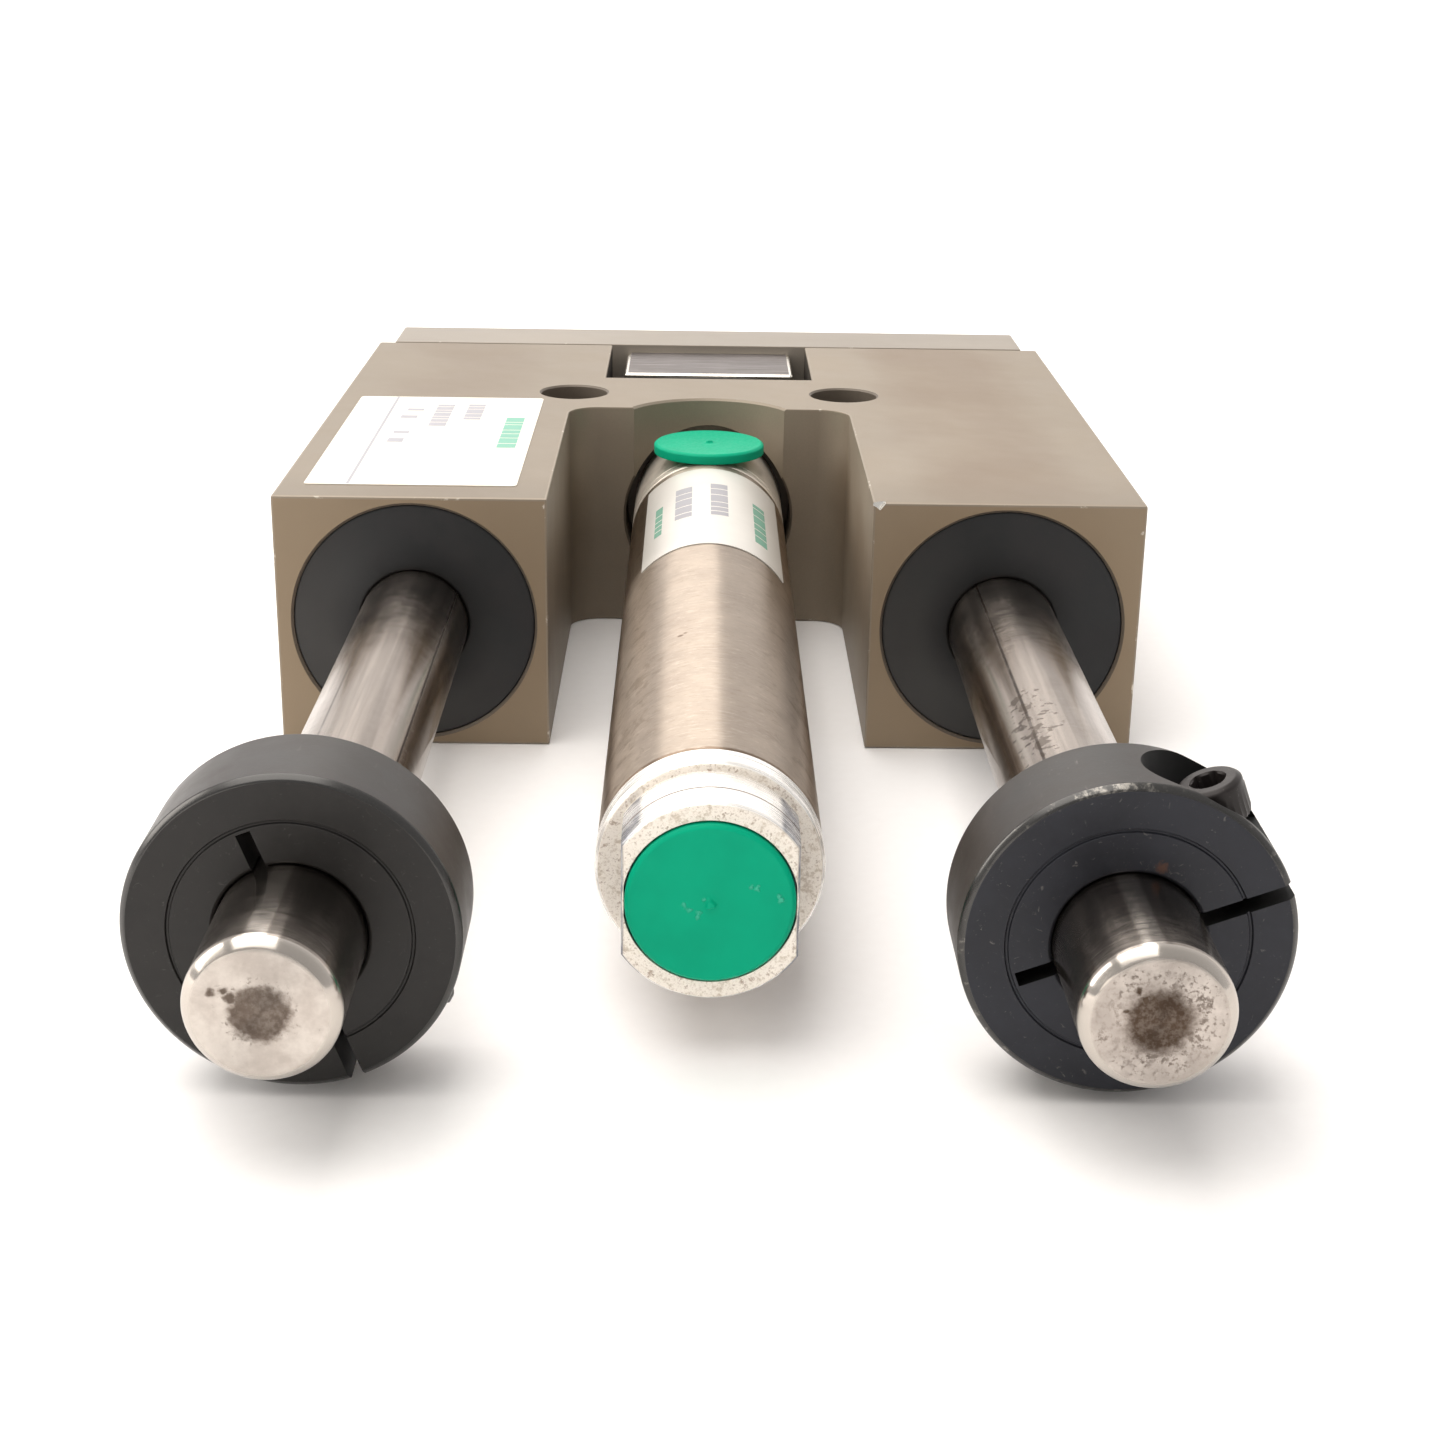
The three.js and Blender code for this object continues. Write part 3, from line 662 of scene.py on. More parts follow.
def black_oxide(name, color, center, dusty=0.5, worn=0.5, rust_at=None, warm_behind=None, roughness=0.42):
    """Black oxide steel: slightly mottled, with dust, light scuffs and metal showing where it is rubbed."""
    x, z = center
    f = Finish(name, color, 0.35, roughness, IOR=1.46)
    seed = x * 3 + z
    drift = f.noise(5, detail=4, roughness=0.6, shift=seed)
    grain = f.noise(0.3, detail=3, roughness=0.7, shift=seed)
    tone = f.mix(f.step(drift, 0.3, 0.7), scaled(color, 0.85), scaled(color, 1.2))
    if warm_behind is not None:
        behind = f.step(f.along("Y"), warm_behind, warm_behind + 0.3)
        outer = f.mix(f.step(drift, 0.35, 0.65), (0.022, 0.019, 0.017), (0.034, 0.029, 0.026))
        tone = f.mix(behind, tone, outer)
    specks = f.noise(0.6, detail=5, roughness=0.8, shift=seed + 9)
    tone = f.mix(f.step(specks, 0.64, 0.74, 0.0, dusty), tone, (0.15, 0.14, 0.13))
    scrapes = f.noise(1.2, detail=5, roughness=0.7, distortion=2.5, stretch=(1, 0.35, 1), shift=seed + 4)
    tone = f.mix(f.step(scrapes, 0.62, 0.72, 0.0, worn), tone, (0.20, 0.185, 0.17))
    if rust_at:
        ragged = f.plus(f.distance(*rust_at), f.times(grain, 1.0))
        tone = f.mix(f.fade(ragged, 0.7, 1.2, 0.6), tone, (0.11, 0.045, 0.022))
    f.set("Base Color", tone)
    f.set("Roughness", f.step(drift, 0.3, 0.75, roughness - 0.05, roughness + 0.06))
    f.bump(grain, 0.008).bump(scrapes, 0.004)
    return f.material


def rubbed_rim(name, center, low, high, wear_and_highlight_at=None):
    f = Finish(name, (0.07, 0.068, 0.066), 0.9, 0.24)
    wear = f.noise(0.9, detail=4, roughness=0.7, stretch=(1, 0.5, 1))
    # More rubbing towards this angle: wear, with a painted highlight along the top of the rim.
    if wear_and_highlight_at:
        off = f.apart(f.angle(*center), wear_and_highlight_at)
        wear = f.plus(wear, f.fade(off, 6, 17, 0.15))
    rubbed = f.step(wear, low, high)
    f.set("Base Color", f.mix(rubbed, (0.07, 0.068, 0.066), (0.24, 0.225, 0.205)))
    f.bump(f.noise(0.4, detail=2), 0.003)
    return f.material


COLLAR = {
    "left": {"turn": -69.3, "head": -1, "lift": 0.05, "color": (0.018, 0.0165, 0.0155)},
    "right": {"turn": 20.5, "head": 1, "lift": 2.8, "color": (0.018, 0.019, 0.025)},
}
COLLAR_RADIUS, COLLAR_HALF, COLLAR_BORE, SLIT = 14.29, 5.15, 6.45, 0.65
SCREW_ALONG, SCREW_SEAT, SEAT_RADIUS = 10.6, 3.4, 4.8


def build_collar(side):
    """The clamp slit runs along +X before the collar is turned into place."""
    rim = 0.5

    def outline(_):
        half = COLLAR_HALF
        return [
            (COLLAR_BORE, -half + 0.25, 0.1), (COLLAR_BORE + 0.25, -half, 0.1),
            (10.05, -half, 0.06), (10.12, -half + 0.22, 0.05), (10.33, -half + 0.22, 0.05),
            (10.4, -half, 0.06), (COLLAR_RADIUS - rim, -half, 0.2),
            (COLLAR_RADIUS, -half + rim, 0.2), (COLLAR_RADIUS, half - rim, 0.2),
            (COLLAR_RADIUS - rim, half, 0.2), (COLLAR_BORE + 0.25, half, 0.1),
            (COLLAR_BORE, half - 0.25, 0.1),
        ]

    bm = turned(outline, angles_of(180))
    for face in bm.faces:
        middle = face.calc_center_median()
        from_axis = math.hypot(middle.x, middle.z)
        on_rim = from_axis > COLLAR_RADIUS - rim - 0.1 and abs(middle.y) > COLLAR_HALF - rim - 0.1
        if on_rim and 0.2 < abs(face.normal.y) < 0.97:
            face.material_index = 1
    cutters = []
    for start, end in ((COLLAR_BORE - 1, COLLAR_RADIUS + 1), (-9.8, 1 - COLLAR_BORE)):
        cutters.append(slab(start, end, -7, 7, -SLIT, SLIT, material=2))
    head = COLLAR[side]["head"]
    facing = Matrix.Rotation(-head * math.pi / 2, 4, "X")
    seat = drilled(SEAT_RADIUS, -COLLAR_RADIUS - 1, -SCREW_SEAT, mouth=0, finish=2)
    cutters.append(moved(seat, SCREW_ALONG, 0, 0, facing))
    hole = drilled(1.83, -COLLAR_RADIUS - 1, COLLAR_RADIUS, mouth=0, finish=2, angles=FINE)
    cutters.append(moved(hole, SCREW_ALONG, 0, 0, facing))
    return carved(bm, cutters)


def hex_radius(across_flats, a):
    """Distance to a hexagon's edge at angle a, with corners at 0, 60, 120... degrees."""
    sixth = TURN / 6
    return across_flats / 2 / math.cos((a % sixth) - sixth / 2)


def build_screw(head, height, shank, length, across_flats, ridges=30, pitch=0.8):
    """Socket head cap screw. The seat is at y = 0, the head towards +Y and the thread towards -Y."""
    deep = 0.45 * height
    thread = [(0, -length), (shank - 0.45, -length, 0.1)]
    y = -length + 0.5
    while y < -0.5:
        thread += [(shank, y), (shank, y + 0.12 * pitch), (shank - 0.45 * pitch, y + 0.5 * pitch)]
        y += pitch

    def outline(a):
        ridge = 0.03 * head * (0.5 + 0.5 * math.cos(ridges * a))
        socket = hex_radius(across_flats, a)
        return [
            *thread,
            (shank, min(-0.02, y - 0.1)), (head - 0.1 - ridge, 0), (head - ridge, 0.12 * height),
            (head - ridge, 0.72 * height), (head - 0.02 * head, 0.76 * height),
            (head - 0.02 * head, height - 0.12 * head, 0.06 * head),
            (head - 0.16 * head, height, 0.04 * head),
            (max(socket, across_flats * 0.56) + 0.02, height), (socket, height - 0.18),
            (socket, deep), (0, deep - 0.25 * across_flats),
        ]

    return turned(outline, angles_of(2 * ridges))


def place_screw(name, size, body, seat, matrix, finish, pitch=0.8):
    shape = moved(build_screw(*size, pitch=pitch), *seat, matrix)
    return piece(name, shape, body, [finish], [name])


COLLAR_SCREW = (2.87, 3.5, 1.75, 12.7, 2.78)
for side, facts in COLLAR.items():
    _, _, middle = span(f"guide_rod_{side}")
    low, high, centre = span(f"stop_collar_{side}")
    body = f"{side}_stop"
    into_place = Matrix.Rotation(-math.radians(facts["turn"]), 4, "Y")
    shape = moved(build_collar(side), middle.x, centre.y, AXIS_Z, into_place)
    rust = (middle.x + 2.2, low.y, AXIS_Z + 7.0) if side == "right" else None
    steel = black_oxide(
        f"collar_oxide_{side}",
        facts["color"],
        (middle.x, AXIS_Z),
        dusty=0.35 if side == "left" else 0.5,
        worn=0.14 if side == "left" else 0.4,
        rust_at=rust,
        warm_behind=low.y + 0.3,
    )
    # The right rim is rubbed brighter near its top, at 98 degrees: wear and a painted highlight.
    wear = (0.68, 0.8) if side == "left" else (0.58, 0.74, 98)
    rim = rubbed_rim(f"collar_rim_{side}", (middle.x, AXIS_Z), *wear)
    # Near black inside the clamp slit and the screw holes: painted shade.
    inside = black_oxide(f"collar_inside_{side}", (0.004, 0.004, 0.004), (middle.x, 3.0), 0.02, 0.03, roughness=0.6)
    piece(f"collar_{side}", shape, body, [steel, rim, inside], [f"stop_collar_{side}"])
    tip = facts["head"] * (SCREW_SEAT + facts["lift"])
    seat = Vector((middle.x, centre.y, AXIS_Z)) + into_place @ Vector((SCREW_ALONG, 0, tip))
    facing = into_place @ Matrix.Rotation(facts["head"] * math.pi / 2, 4, "X")
    screw_steel = black_oxide(f"collar_screw_oxide_{side}", (0.020, 0.016, 0.015), (seat.x, seat.z), 0.6, 0.9)
    place_screw(f"collar_screw_{side}", COLLAR_SCREW, body, seat, facing, screw_steel)


# Cylinder: tube, rear cap, head, nose nut and label


def tube_steel():
    """Drawn stainless tube polished round its axis, with a warm cast, fine hairlines and dirt near its ends."""
    low, _, _ = span("cylinder_tube")
    f = Finish("tube_stainless", (0.40, 0.33, 0.27), 1.0, 0.32, Anisotropic=0.9, Anisotropic_Rotation=0.25)
    hairs = f.noise(0.2, detail=3, roughness=0.65, stretch=(0.08, 1, 0.08))
    fleck = f.noise(0.5, detail=6, roughness=0.75, stretch=(0.35, 1, 0.35))
    drift = f.noise(6, detail=4, roughness=0.6)
    tone = f.mix(f.step(drift, 0.3, 0.7), (0.37, 0.305, 0.25), (0.43, 0.36, 0.295))
    tone = f.mix(f.fade(hairs, 0.35, 0.65, 0.25), tone, (0.20, 0.16, 0.125))
    tone = f.mix(f.step(fleck, 0.54, 0.66, 0.0, 0.4), tone, (0.60, 0.53, 0.45))
    tone = f.mix(f.fade(fleck, 0.36, 0.44, 0.35), tone, (0.22, 0.17, 0.12))
    scratch = f.noise(1.0, detail=7, roughness=0.8, distortion=3.0, stretch=(0.5, 0.8, 0.5), shift=23.0)
    tone = f.mix(f.step(scratch, 0.70, 0.73, 0.0, 0.6), tone, (0.12, 0.09, 0.06))
    from_end = f.math("SUBTRACT", f.along("Y"), low.y)
    grime = f.fade(f.plus(from_end, f.times(fleck, 0.8)), 0.75, 1.2, 0.8)
    tone = f.mix(grime, tone, (0.15, 0.10, 0.065))
    side_dirt = f.noise(2.4, detail=6, roughness=0.75, distortion=0.8, shift=61.0)
    off_top = f.math("DIVIDE", f.math("ABSOLUTE", f.along("X")), TUBE_RADIUS)
    patch = f.times(f.step(side_dirt, 0.50, 0.64), f.step(off_top, 0.2, 0.95, 0.08, 0.6))
    tone = f.mix(patch, tone, (0.17, 0.125, 0.085))
    for x, y, size in ((-3.1, -34.2, 0.2), (-2.6, -33.7, 0.12)):
        near = f.distance(x, FRONT + y, AXIS_Z + math.sqrt(TUBE_RADIUS**2 - x * x))
        ragged = f.plus(near, f.times(fleck, 0.4))
        tone = f.mix(f.fade(ragged, size + 0.15, size + 0.45, 0.85), tone, (0.10, 0.055, 0.03))
    f.set("Base Color", tone)
    f.set("Roughness", f.step(hairs, 0.3, 0.7, 0.28, 0.38))
    tangent = f.node("Tangent", {}, direction_type="RADIAL", axis="Y")
    f.set("Tangent", tangent)
    f.bump(hairs, 0.0015).bump(fleck, 0.002)
    return f.material


def cap_aluminium(name, color):
    """Turned aluminium, bright on its lands, with a coarse pitted saw-cut face."""
    low, _, _ = span("rear_cap")
    f = Finish(name, color, 0.5, 0.34, Anisotropic=0.6, Anisotropic_Rotation=0.25)
    f.set("Tangent", f.node("Tangent", {}, direction_type="RADIAL", axis="Y"))
    rings = f.noise(0.12, detail=3, stretch=(0.05, 1, 0.05))
    drift = f.noise(3, detail=4, roughness=0.65)
    pits = f.noise(0.9, detail=6, roughness=0.8)
    on_face = f.fade(f.along("Y"), low.y + 0.02, low.y + 0.15)
    near_ledge = f.apart(f.along("Y"), CAP_LEDGE)
    on_ledge = f.fade(near_ledge, 0.02, 0.12)
    rough_face = f.most(on_face, on_ledge)
    tone = f.mix(f.step(drift, 0.3, 0.7), scaled(color, 0.9), color)
    matt = f.mix(f.step(pits, 0.36, 0.52), (0.60, 0.52, 0.43), (0.90, 0.84, 0.76))
    across = f.math("ABSOLUTE", f.along("X"))
    boss = f.times(f.step(across, 5.9, 6.4), f.fade(f.along("Y"), CAP_LEDGE - 0.3, CAP_LEDGE - 0.1))
    tone = f.mix(f.times(boss, f.step(drift, 0.35, 0.6, 0.95, 0.5)), tone, (0.16, 0.17, 0.21))
    scribe = f.apart(f.along("Y"), low.y + 3.46)
    tone = f.mix(f.fade(scribe, 0.06, 0.17, 0.85), tone, (0.17, 0.09, 0.05))
    tone = f.mix(rough_face, tone, matt)
    brown = f.times(rough_face, f.step(pits, 0.54, 0.65, 0.0, 0.75))
    tone = f.mix(brown, tone, (0.30, 0.20, 0.13))
    nicks = f.noise(1.2, detail=6, roughness=0.75, distortion=2.5, shift=31.0)
    tone = f.mix(f.step(nicks, 0.64, 0.69, 0.0, 0.55), tone, (0.25, 0.17, 0.12))
    f.set("Base Color", tone)
    f.set("Roughness", f.mix(rough_face, f.step(rings, 0.3, 0.7, 0.18, 0.34), (0.55, 0.55, 0.55)))
    f.bump(rings, 0.002).bump(f.times(pits, rough_face), 0.06)
    return f.material


TUBE_LOW, TUBE_HIGH, _ = span("cylinder_tube")
CAP_LOW, CAP_HIGH, _ = span("rear_cap")
CAP_LEDGE = TUBE_LOW.y - 3.1
TUBE_RADIUS = TUBE_HIGH.x
BOSS_RADIUS, BOSS_FLAT = 9.35, 7.75
FLAT_ANGLE = math.acos(BOSS_FLAT / BOSS_RADIUS)
CAP_ANGLES = angles_of(144, [sign * FLAT_ANGLE + turn for sign in (-1, 1) for turn in (0, math.pi)])


def build_tube():
    low, high = TUBE_LOW.y, TUBE_HIGH.y
    return turned(
        [
            (9.525, low), (TUBE_RADIUS - 0.25, low, 0.1), (TUBE_RADIUS, low + 0.4, 0.25),
            (TUBE_RADIUS, high - 0.4, 0.25), (TUBE_RADIUS - 0.25, high, 0.1), (9.525, high),
        ]
    )


def build_cap():
    """Rear cap: turned rim, a boss with two flats and a scribed line, and the threaded port."""
    end, plug, inner = CAP_LOW.y, 9.475, CAP_HIGH.y
    recess = end + 0.95
    port = []
    y = recess + 0.4
    while y < inner - 1:
        port += [(4.4, y), (4.75, y + 0.45)]
        y += 0.94

    def outline(a):
        reach = min(BOSS_RADIUS, BOSS_FLAT / max(1e-6, abs(math.cos(a))))
        scribe = min(BOSS_RADIUS - 0.12, reach)
        return [
            (4.4, inner),
            *reversed(port),
            (4.9, recess, 0.2), (7.6, recess, 0.2), (7.6, end + 0.2, 0.1), (7.65, end),
            (reach - 0.3, end, 0.1), (reach, end + 0.3, 0.15), (reach, end + 3.35),
            (scribe, end + 3.42), (scribe, end + 3.5), (reach, end + 3.57),
            (reach, CAP_LEDGE - 0.05), (reach + 0.05, CAP_LEDGE), (10.0, CAP_LEDGE, 0.12),
            (10.35, CAP_LEDGE + 0.35, 0.12), (10.35, CAP_LEDGE + 1.75), (10.27, CAP_LEDGE + 1.82),
            (10.27, CAP_LEDGE + 1.9), (10.35, CAP_LEDGE + 1.97), (10.35, TUBE_LOW.y - 0.25),
            (10.2, TUBE_LOW.y - 0.05), (plug, TUBE_LOW.y - 0.05), (plug, inner - 4.8),
            (plug - 1.4, inner - 4.8), (plug - 1.4, inner - 2.8), (plug, inner - 2.8),
            (plug, inner),
        ]

    return turned(outline, CAP_ANGLES)


def build_head():
    """Front head with its threaded nose and the front port on top."""
    low, high, _ = span("cylinder_head")
    shoulder, start = FRONT + 57.95, TUBE_HIGH.y
    nose = []
    y = shoulder + 1.5
    while y < high.y - 1.2:
        nose += [(7.94, y), (7.94, y + 0.2), (7.3, y + 0.7), (7.3, y + 0.9)]
        y += 1.41
    bm = turned(
        [
            (5, low.y), (9.475, low.y), (9.475, low.y + 2.8), (8.075, low.y + 2.8),
            (8.075, low.y + 4.8), (9.475, low.y + 4.8), (9.475, start + 0.05),
            (10.05, start + 0.05, 0.1), (10.3, start + 0.3, 0.1), (10.3, start + 2.3),
            (10.18, start + 2.4), (10.18, start + 2.6), (10.3, start + 2.7),
            (10.3, shoulder - 0.3, 0.1), (10.0, shoulder, 0.1), (7.5, shoulder),
            (7.5, shoulder + 1.0),
            *nose,
            (7.4, high.y - 0.4), (7.0, high.y), (4.8, high.y), (4.8, FRONT + 58), (5.4, FRONT + 58),
            (5.4, FRONT + 54), (5, FRONT + 54),
        ]
    )
    port = []
    y = -10.3
    while y < -1.5:
        port += [(4.7, y), (4.4, y + 0.45)]
        y += 0.94
    cutter = turned([(0, -12), (5.6, -12), (4.7, -10.7), *port, (4.4, -0.6), (0, -0.6)], FINE)
    return carved(bm, [moved(cutter, 0, FRONT + 45.5, 0, UPRIGHT.inverted())])


def build_nut(across_flats, hole, y0, y1):
    """Hexagonal nut whose corners are chamfered by a cone at both ends."""
    land = across_flats / 2 * 0.97

    def outline(a):
        reach = hex_radius(across_flats, a)
        drop = (reach - land) * math.tan(math.radians(26))
        return [
            (hole, y0 + 0.5), (hole + 0.5, y0), (land, y0), (reach, y0 + drop), (reach, y1 - drop),
            (land, y1), (hole + 0.5, y1), (hole, y1 - 0.5),
        ]

    return turned(outline, angles_of(144))


ALUMINIUM = (0.93, 0.90, 0.86)
head_finish = machined("head_aluminium", (0.74, 0.67, 0.58), 0.45, metallic=0.6)
piece("tube", moved(build_tube(), 0, 0, AXIS_Z), "housing", [tube_steel()], ["cylinder_tube"])
cap_finish = cap_aluminium("cap_aluminium", ALUMINIUM)
piece("cap", moved(build_cap(), 0, 0, AXIS_Z), "housing", [cap_finish], ["rear_cap"])
piece("head", moved(build_head(), 0, 0, AXIS_Z), "housing", [head_finish], ["cylinder_head"])
zinc = machined("zinc_plate", (0.56, 0.57, 0.58), 0.35, lines=(1, 1, 1), size=0.5)
nut_low, nut_high, _ = span("nose_nut")
nut = moved(build_nut(23.8, 8.0, nut_low.y, nut_high.y), 0, 0, AXIS_Z)
piece("nut", nut, "housing", [zinc], ["nose_nut"])


# Port plugs


def green_plastic(name, color, at, spots):
    """Glossy moulded polyethylene with a soft skin texture and small knocks."""
    f = Finish(name, color, 0.0, 0.42, IOR=1.5)
    f.set("Specular IOR Level", 0.08)
    drift = f.noise(5, detail=3)
    skin = f.noise(0.4, detail=3)
    tone = f.mix(f.step(drift, 0.3, 0.7), scaled(color, 0.96), scaled(color, 1.04))
    knocks = None
    for dx, dz, size in spots:
        near = f.distance(at[0] + dx, at[1], at[2] + dz)
        ragged = f.plus(near, f.times(f.noise(0.35, detail=3), 0.8))
        knock = f.fade(ragged, size + 0.3, size + 0.6)
        knocks = knock if knocks is None else f.most(knocks, knock)
    if knocks is not None:
        tone = f.mix(f.times(knocks, 0.5), tone, (0.10, 0.52, 0.36))
        f.bump(knocks, 0.1)
    f.set("Base Color", tone)
    f.set("Roughness", f.step(skin, 0.3, 0.7, 0.36, 0.48))
    f.bump(skin, 0.01)
    return f.material


def build_plug():
    """Flange on y = 0 and up, the stem towards -Y and a broken moulding gate in the middle."""

    def outline(a):
        ragged = 0.5 + 0.1 * math.sin(3 * a + 1)
        return [
            (0, -6), (3.9, -6, 0.2), (4.3, -5.4, 0.2), (4.3, 0, 0.15), (7.43, 0, 0.03),
            (7.45, 0.15, 0.05), (7.45, 1.1, 0.15), (7.1, 1.4, 0.15), (6.6, 1.36, 0.2),
            (1.6, 1.36, 0.3), (0.9, 1.3, 0.1), (ragged, 1.36, 0.05), (ragged * 0.6, 1.66, 0.08),
            (0, 1.62),
        ]

    return turned(outline, angles_of(96))


_, rear_high, _ = span("rear_port_plug")
rear_seat = rear_high.y - 6
scuffs = [(4.0, 1.6, 0.16), (3.5, 1.7, 0.1), (6.15, 0.45, 0.16), (5.9, 0.8, 0.1), (-2.3, -0.1, 0.1)]
scuffs += [(-1.8, -0.5, 0.1), (-1.1, -1.3, 0.1), (-0.6, 0.35, 0.08), (-1.0, -0.8, 0.1)]
rear_green = green_plastic("plug_green_rear", (0.0006, 0.345, 0.19), (0, rear_seat - 1.4, AXIS_Z), scuffs)
rear_plug = moved(build_plug(), 0, rear_seat, AXIS_Z, Matrix.Rotation(math.pi, 4, "X"))
piece("plug_rear", rear_plug, "rear_plug", [rear_green], ["rear_port_plug"])

front_low, _, front_middle = span("front_port_plug")
front_green = green_plastic("plug_green_front", (0.003, 0.345, 0.19), (0, 0, 0), [])
front_plug = moved(build_plug(), 0, front_middle.y, front_low.z + 6, UPRIGHT)
piece("plug_front", front_plug, "front_plug", [front_green], ["front_port_plug"])


# Labels, printed with plain bars instead of words


def vinyl(name, color, roughness=0.38, metallic=0.0):
    f = Finish(name, color, metallic, roughness, IOR=1.48)
    drift = f.noise(7, detail=4, roughness=0.6)
    grain = f.noise(0.3, detail=2)
    tone = f.mix(f.step(drift, 0.3, 0.7), scaled(color, 0.95), color)
    dirt = f.noise(0.8, detail=6, roughness=0.8)
    f.set("Base Color", f.mix(f.step(dirt, 0.68, 0.76, 0.0, 0.4), tone, (0.42, 0.36, 0.28)))
    f.bump(drift, 0.02).bump(grain, 0.003)
    return f.material


label_finishes = [
    vinyl("label_paper", (0.80, 0.74, 0.64)),
    vinyl("label_grey_ink", (0.35, 0.34, 0.37), 0.5),
    vinyl("label_green_ink", (0.16, 0.40, 0.30), 0.5),
]
tube_finishes = [
    vinyl("foil_paper", (0.66, 0.63, 0.58), 0.35, 0.35),
    vinyl("foil_grey_ink", (0.30, 0.29, 0.31), 0.5),
    vinyl("foil_green_ink", (0.12, 0.28, 0.20), 0.5),
]
GREY, GREEN = 1, 2  # material numbers on both labels; the paper is 0


def word_bars(start, end, low, high, unit, gap=0.35):
    """Random bar lengths that fill a line from start to end: (along0, along1, across0, across1)."""
    bars, at = [], start
    while at < end - unit:
        length = random.uniform(1.0, 2.6) * unit
        bars.append((at, min(end, at + length), low, high))
        at += length + gap * unit
    return bars


def build_block_label():
    low, high, _ = span("block_label")
    sheet = high.z - 0.02
    corner = 0.6
    outline = []
    for x, y, start in ((low.x, low.y, 180), (high.x, low.y, 270), (high.x, high.y, 0), (low.x, high.y, 90)):
        cx = x + corner if x == low.x else x - corner
        cy = y + corner if y == low.y else y - corner
        for k in range(5):
            a = math.radians(start + 22.5 * k)
            outline.append((cx + corner * math.cos(a), cy + corner * math.sin(a)))
    parts = [prism(outline, low.z, sheet, bevel=0.03, segments=1)]
    prints = [(low.x + 5.0, low.x + 5.35, low.y + 0.3, high.y - 0.3, GREY)]
    lines = [  # offset from the label's left edge, its width, start and end from the front edge
        (7.0, 2.2, 36.0, 38.2, GREY), (7.4, 2.2, 40.6, 42.2, GREY), (7.0, 2.0, 22.0, 24.2, GREY),
        (7.2, 2.0, 27.0, 28.6, GREY), (11.2, 2.3, 31.5, 45.5, GREY), (15.4, 2.3, 35.5, 45.0, GREY),
        (21.2, 2.4, 19.5, 37.0, GREEN),
    ]
    for offset, width, start, end, ink in lines:
        for y0, y1, x0, x1 in word_bars(start, end, offset, offset + width, 1.1, 0.3):
            prints.append((low.x + x0, low.x + x1, low.y + y0, low.y + y1, ink))
    for x0, x1, y0, y1, ink in prints:
        parts.append(slab(x0, x1, y0, y1, sheet - 0.01, high.z, material=ink))
    return joined(*parts)


def wrapped(radius0, radius1, from_angle, to_angle, y0, y1, material=0, steps=48):
    """A thin curved sheet round the tube. Angles are degrees from the top towards +X."""
    bm = bmesh.new()
    rows = []
    count = max(2, int(steps * abs(to_angle - from_angle) / 110))
    for i in range(count + 1):
        a = math.radians(from_angle + (to_angle - from_angle) * i / count)
        place = [(radius0, y0), (radius1, y0), (radius1, y1), (radius0, y1)]
        rows.append([bm.verts.new((r * math.sin(a), y, r * math.cos(a))) for r, y in place])
    for one, two in zip(rows, rows[1:]):
        for k in range(4):
            bm.faces.new((one[k], one[(k + 1) % 4], two[(k + 1) % 4], two[k]))
    bm.faces.new(rows[0])
    bm.faces.new(rows[-1])
    for face in bm.faces:
        face.material_index = material
    bmesh.ops.recalc_face_normals(bm, faces=bm.faces)
    return bm


def build_tube_label():
    low, high, _ = span("tube_label")
    inner, outer = TUBE_RADIUS + 0.03, TUBE_RADIUS + 0.13
    parts = [wrapped(inner, outer, -50, 57, low.y, high.y)]
    lines = [  # angles across the line, then start and end along the tube
        (-40, -34, 10.0, 24.0, GREEN), (-24, -12, 13.0, 27.5, GREY), (1, 13, 13.0, 28.5, GREY),
        (32, 42, 6.5, 24.5, GREEN),
    ]
    for a0, a1, start, end, ink in lines:
        for y0, y1, _, _ in word_bars(start, end, 0, 1, 1.5, 0.28):
            parts.append(wrapped(outer - 0.01, outer + 0.012, a0, a1, low.y + y0, low.y + y1, ink))
    return joined(*parts)


piece("label_block", build_block_label(), "housing", label_finishes, ["block_label"])
tube_print = moved(build_tube_label(), 0, 0, AXIS_Z)
piece("label_tube", tube_print, "housing", tube_finishes, ["tube_label"])


# Tooling plate, coupling and piston rod

PLATE_LOW, PLATE_HIGH, _ = span("tooling_plate")


def build_plate():
    low, high = PLATE_LOW, PLATE_HIGH
    bm = slab(low.x, high.x, low.y, high.y, low.z, high.z, bevel=0.3, edge_material=EDGE)
    cutters = []
    for x in ROD_X.values():
        cutters.append(moved(drilled(5.01, high.y, high.y - 6.6, angles=FINE), x, 0, AXIS_Z))
        cutters.append(moved(drilled(6.4, low.y, low.y + 3.05), x, 0, AXIS_Z))
        cutters.append(moved(drilled(3.28, low.y + 2, high.y - 5, mouth=0, angles=FINE), x, 0, AXIS_Z))
    for level in (-1, 1):
        z = AXIS_Z + level * 9.9
        cutters.append(moved(drilled(4.16, high.y, high.y - 5.3, angles=FINE), 0, 0, z))
        cutters.append(moved(drilled(2.5, low.y, high.y - 5, mouth=0.2, angles=FINE), 0, 0, z))
        for side in (-1, 1):
            threads = []
            y = high.y - 0.6
            while y > low.y + 0.8:
                threads += [(2.45, y), (2.08, y - 0.5)]
                y -= 1.0
            outline = [(0, high.y + 1), (3.5, high.y + 1), (2.45, high.y - 0.1), *threads]
            outline += [(2.45, low.y + 0.1), (3.5, low.y - 1), (0, low.y - 1)]
            z_hole = AXIS_Z + level * 9.525
            cutters.append(moved(turned(outline, FINE, BORE), side * 22.225, 0, z_hole))
    return carved(bm, cutters)


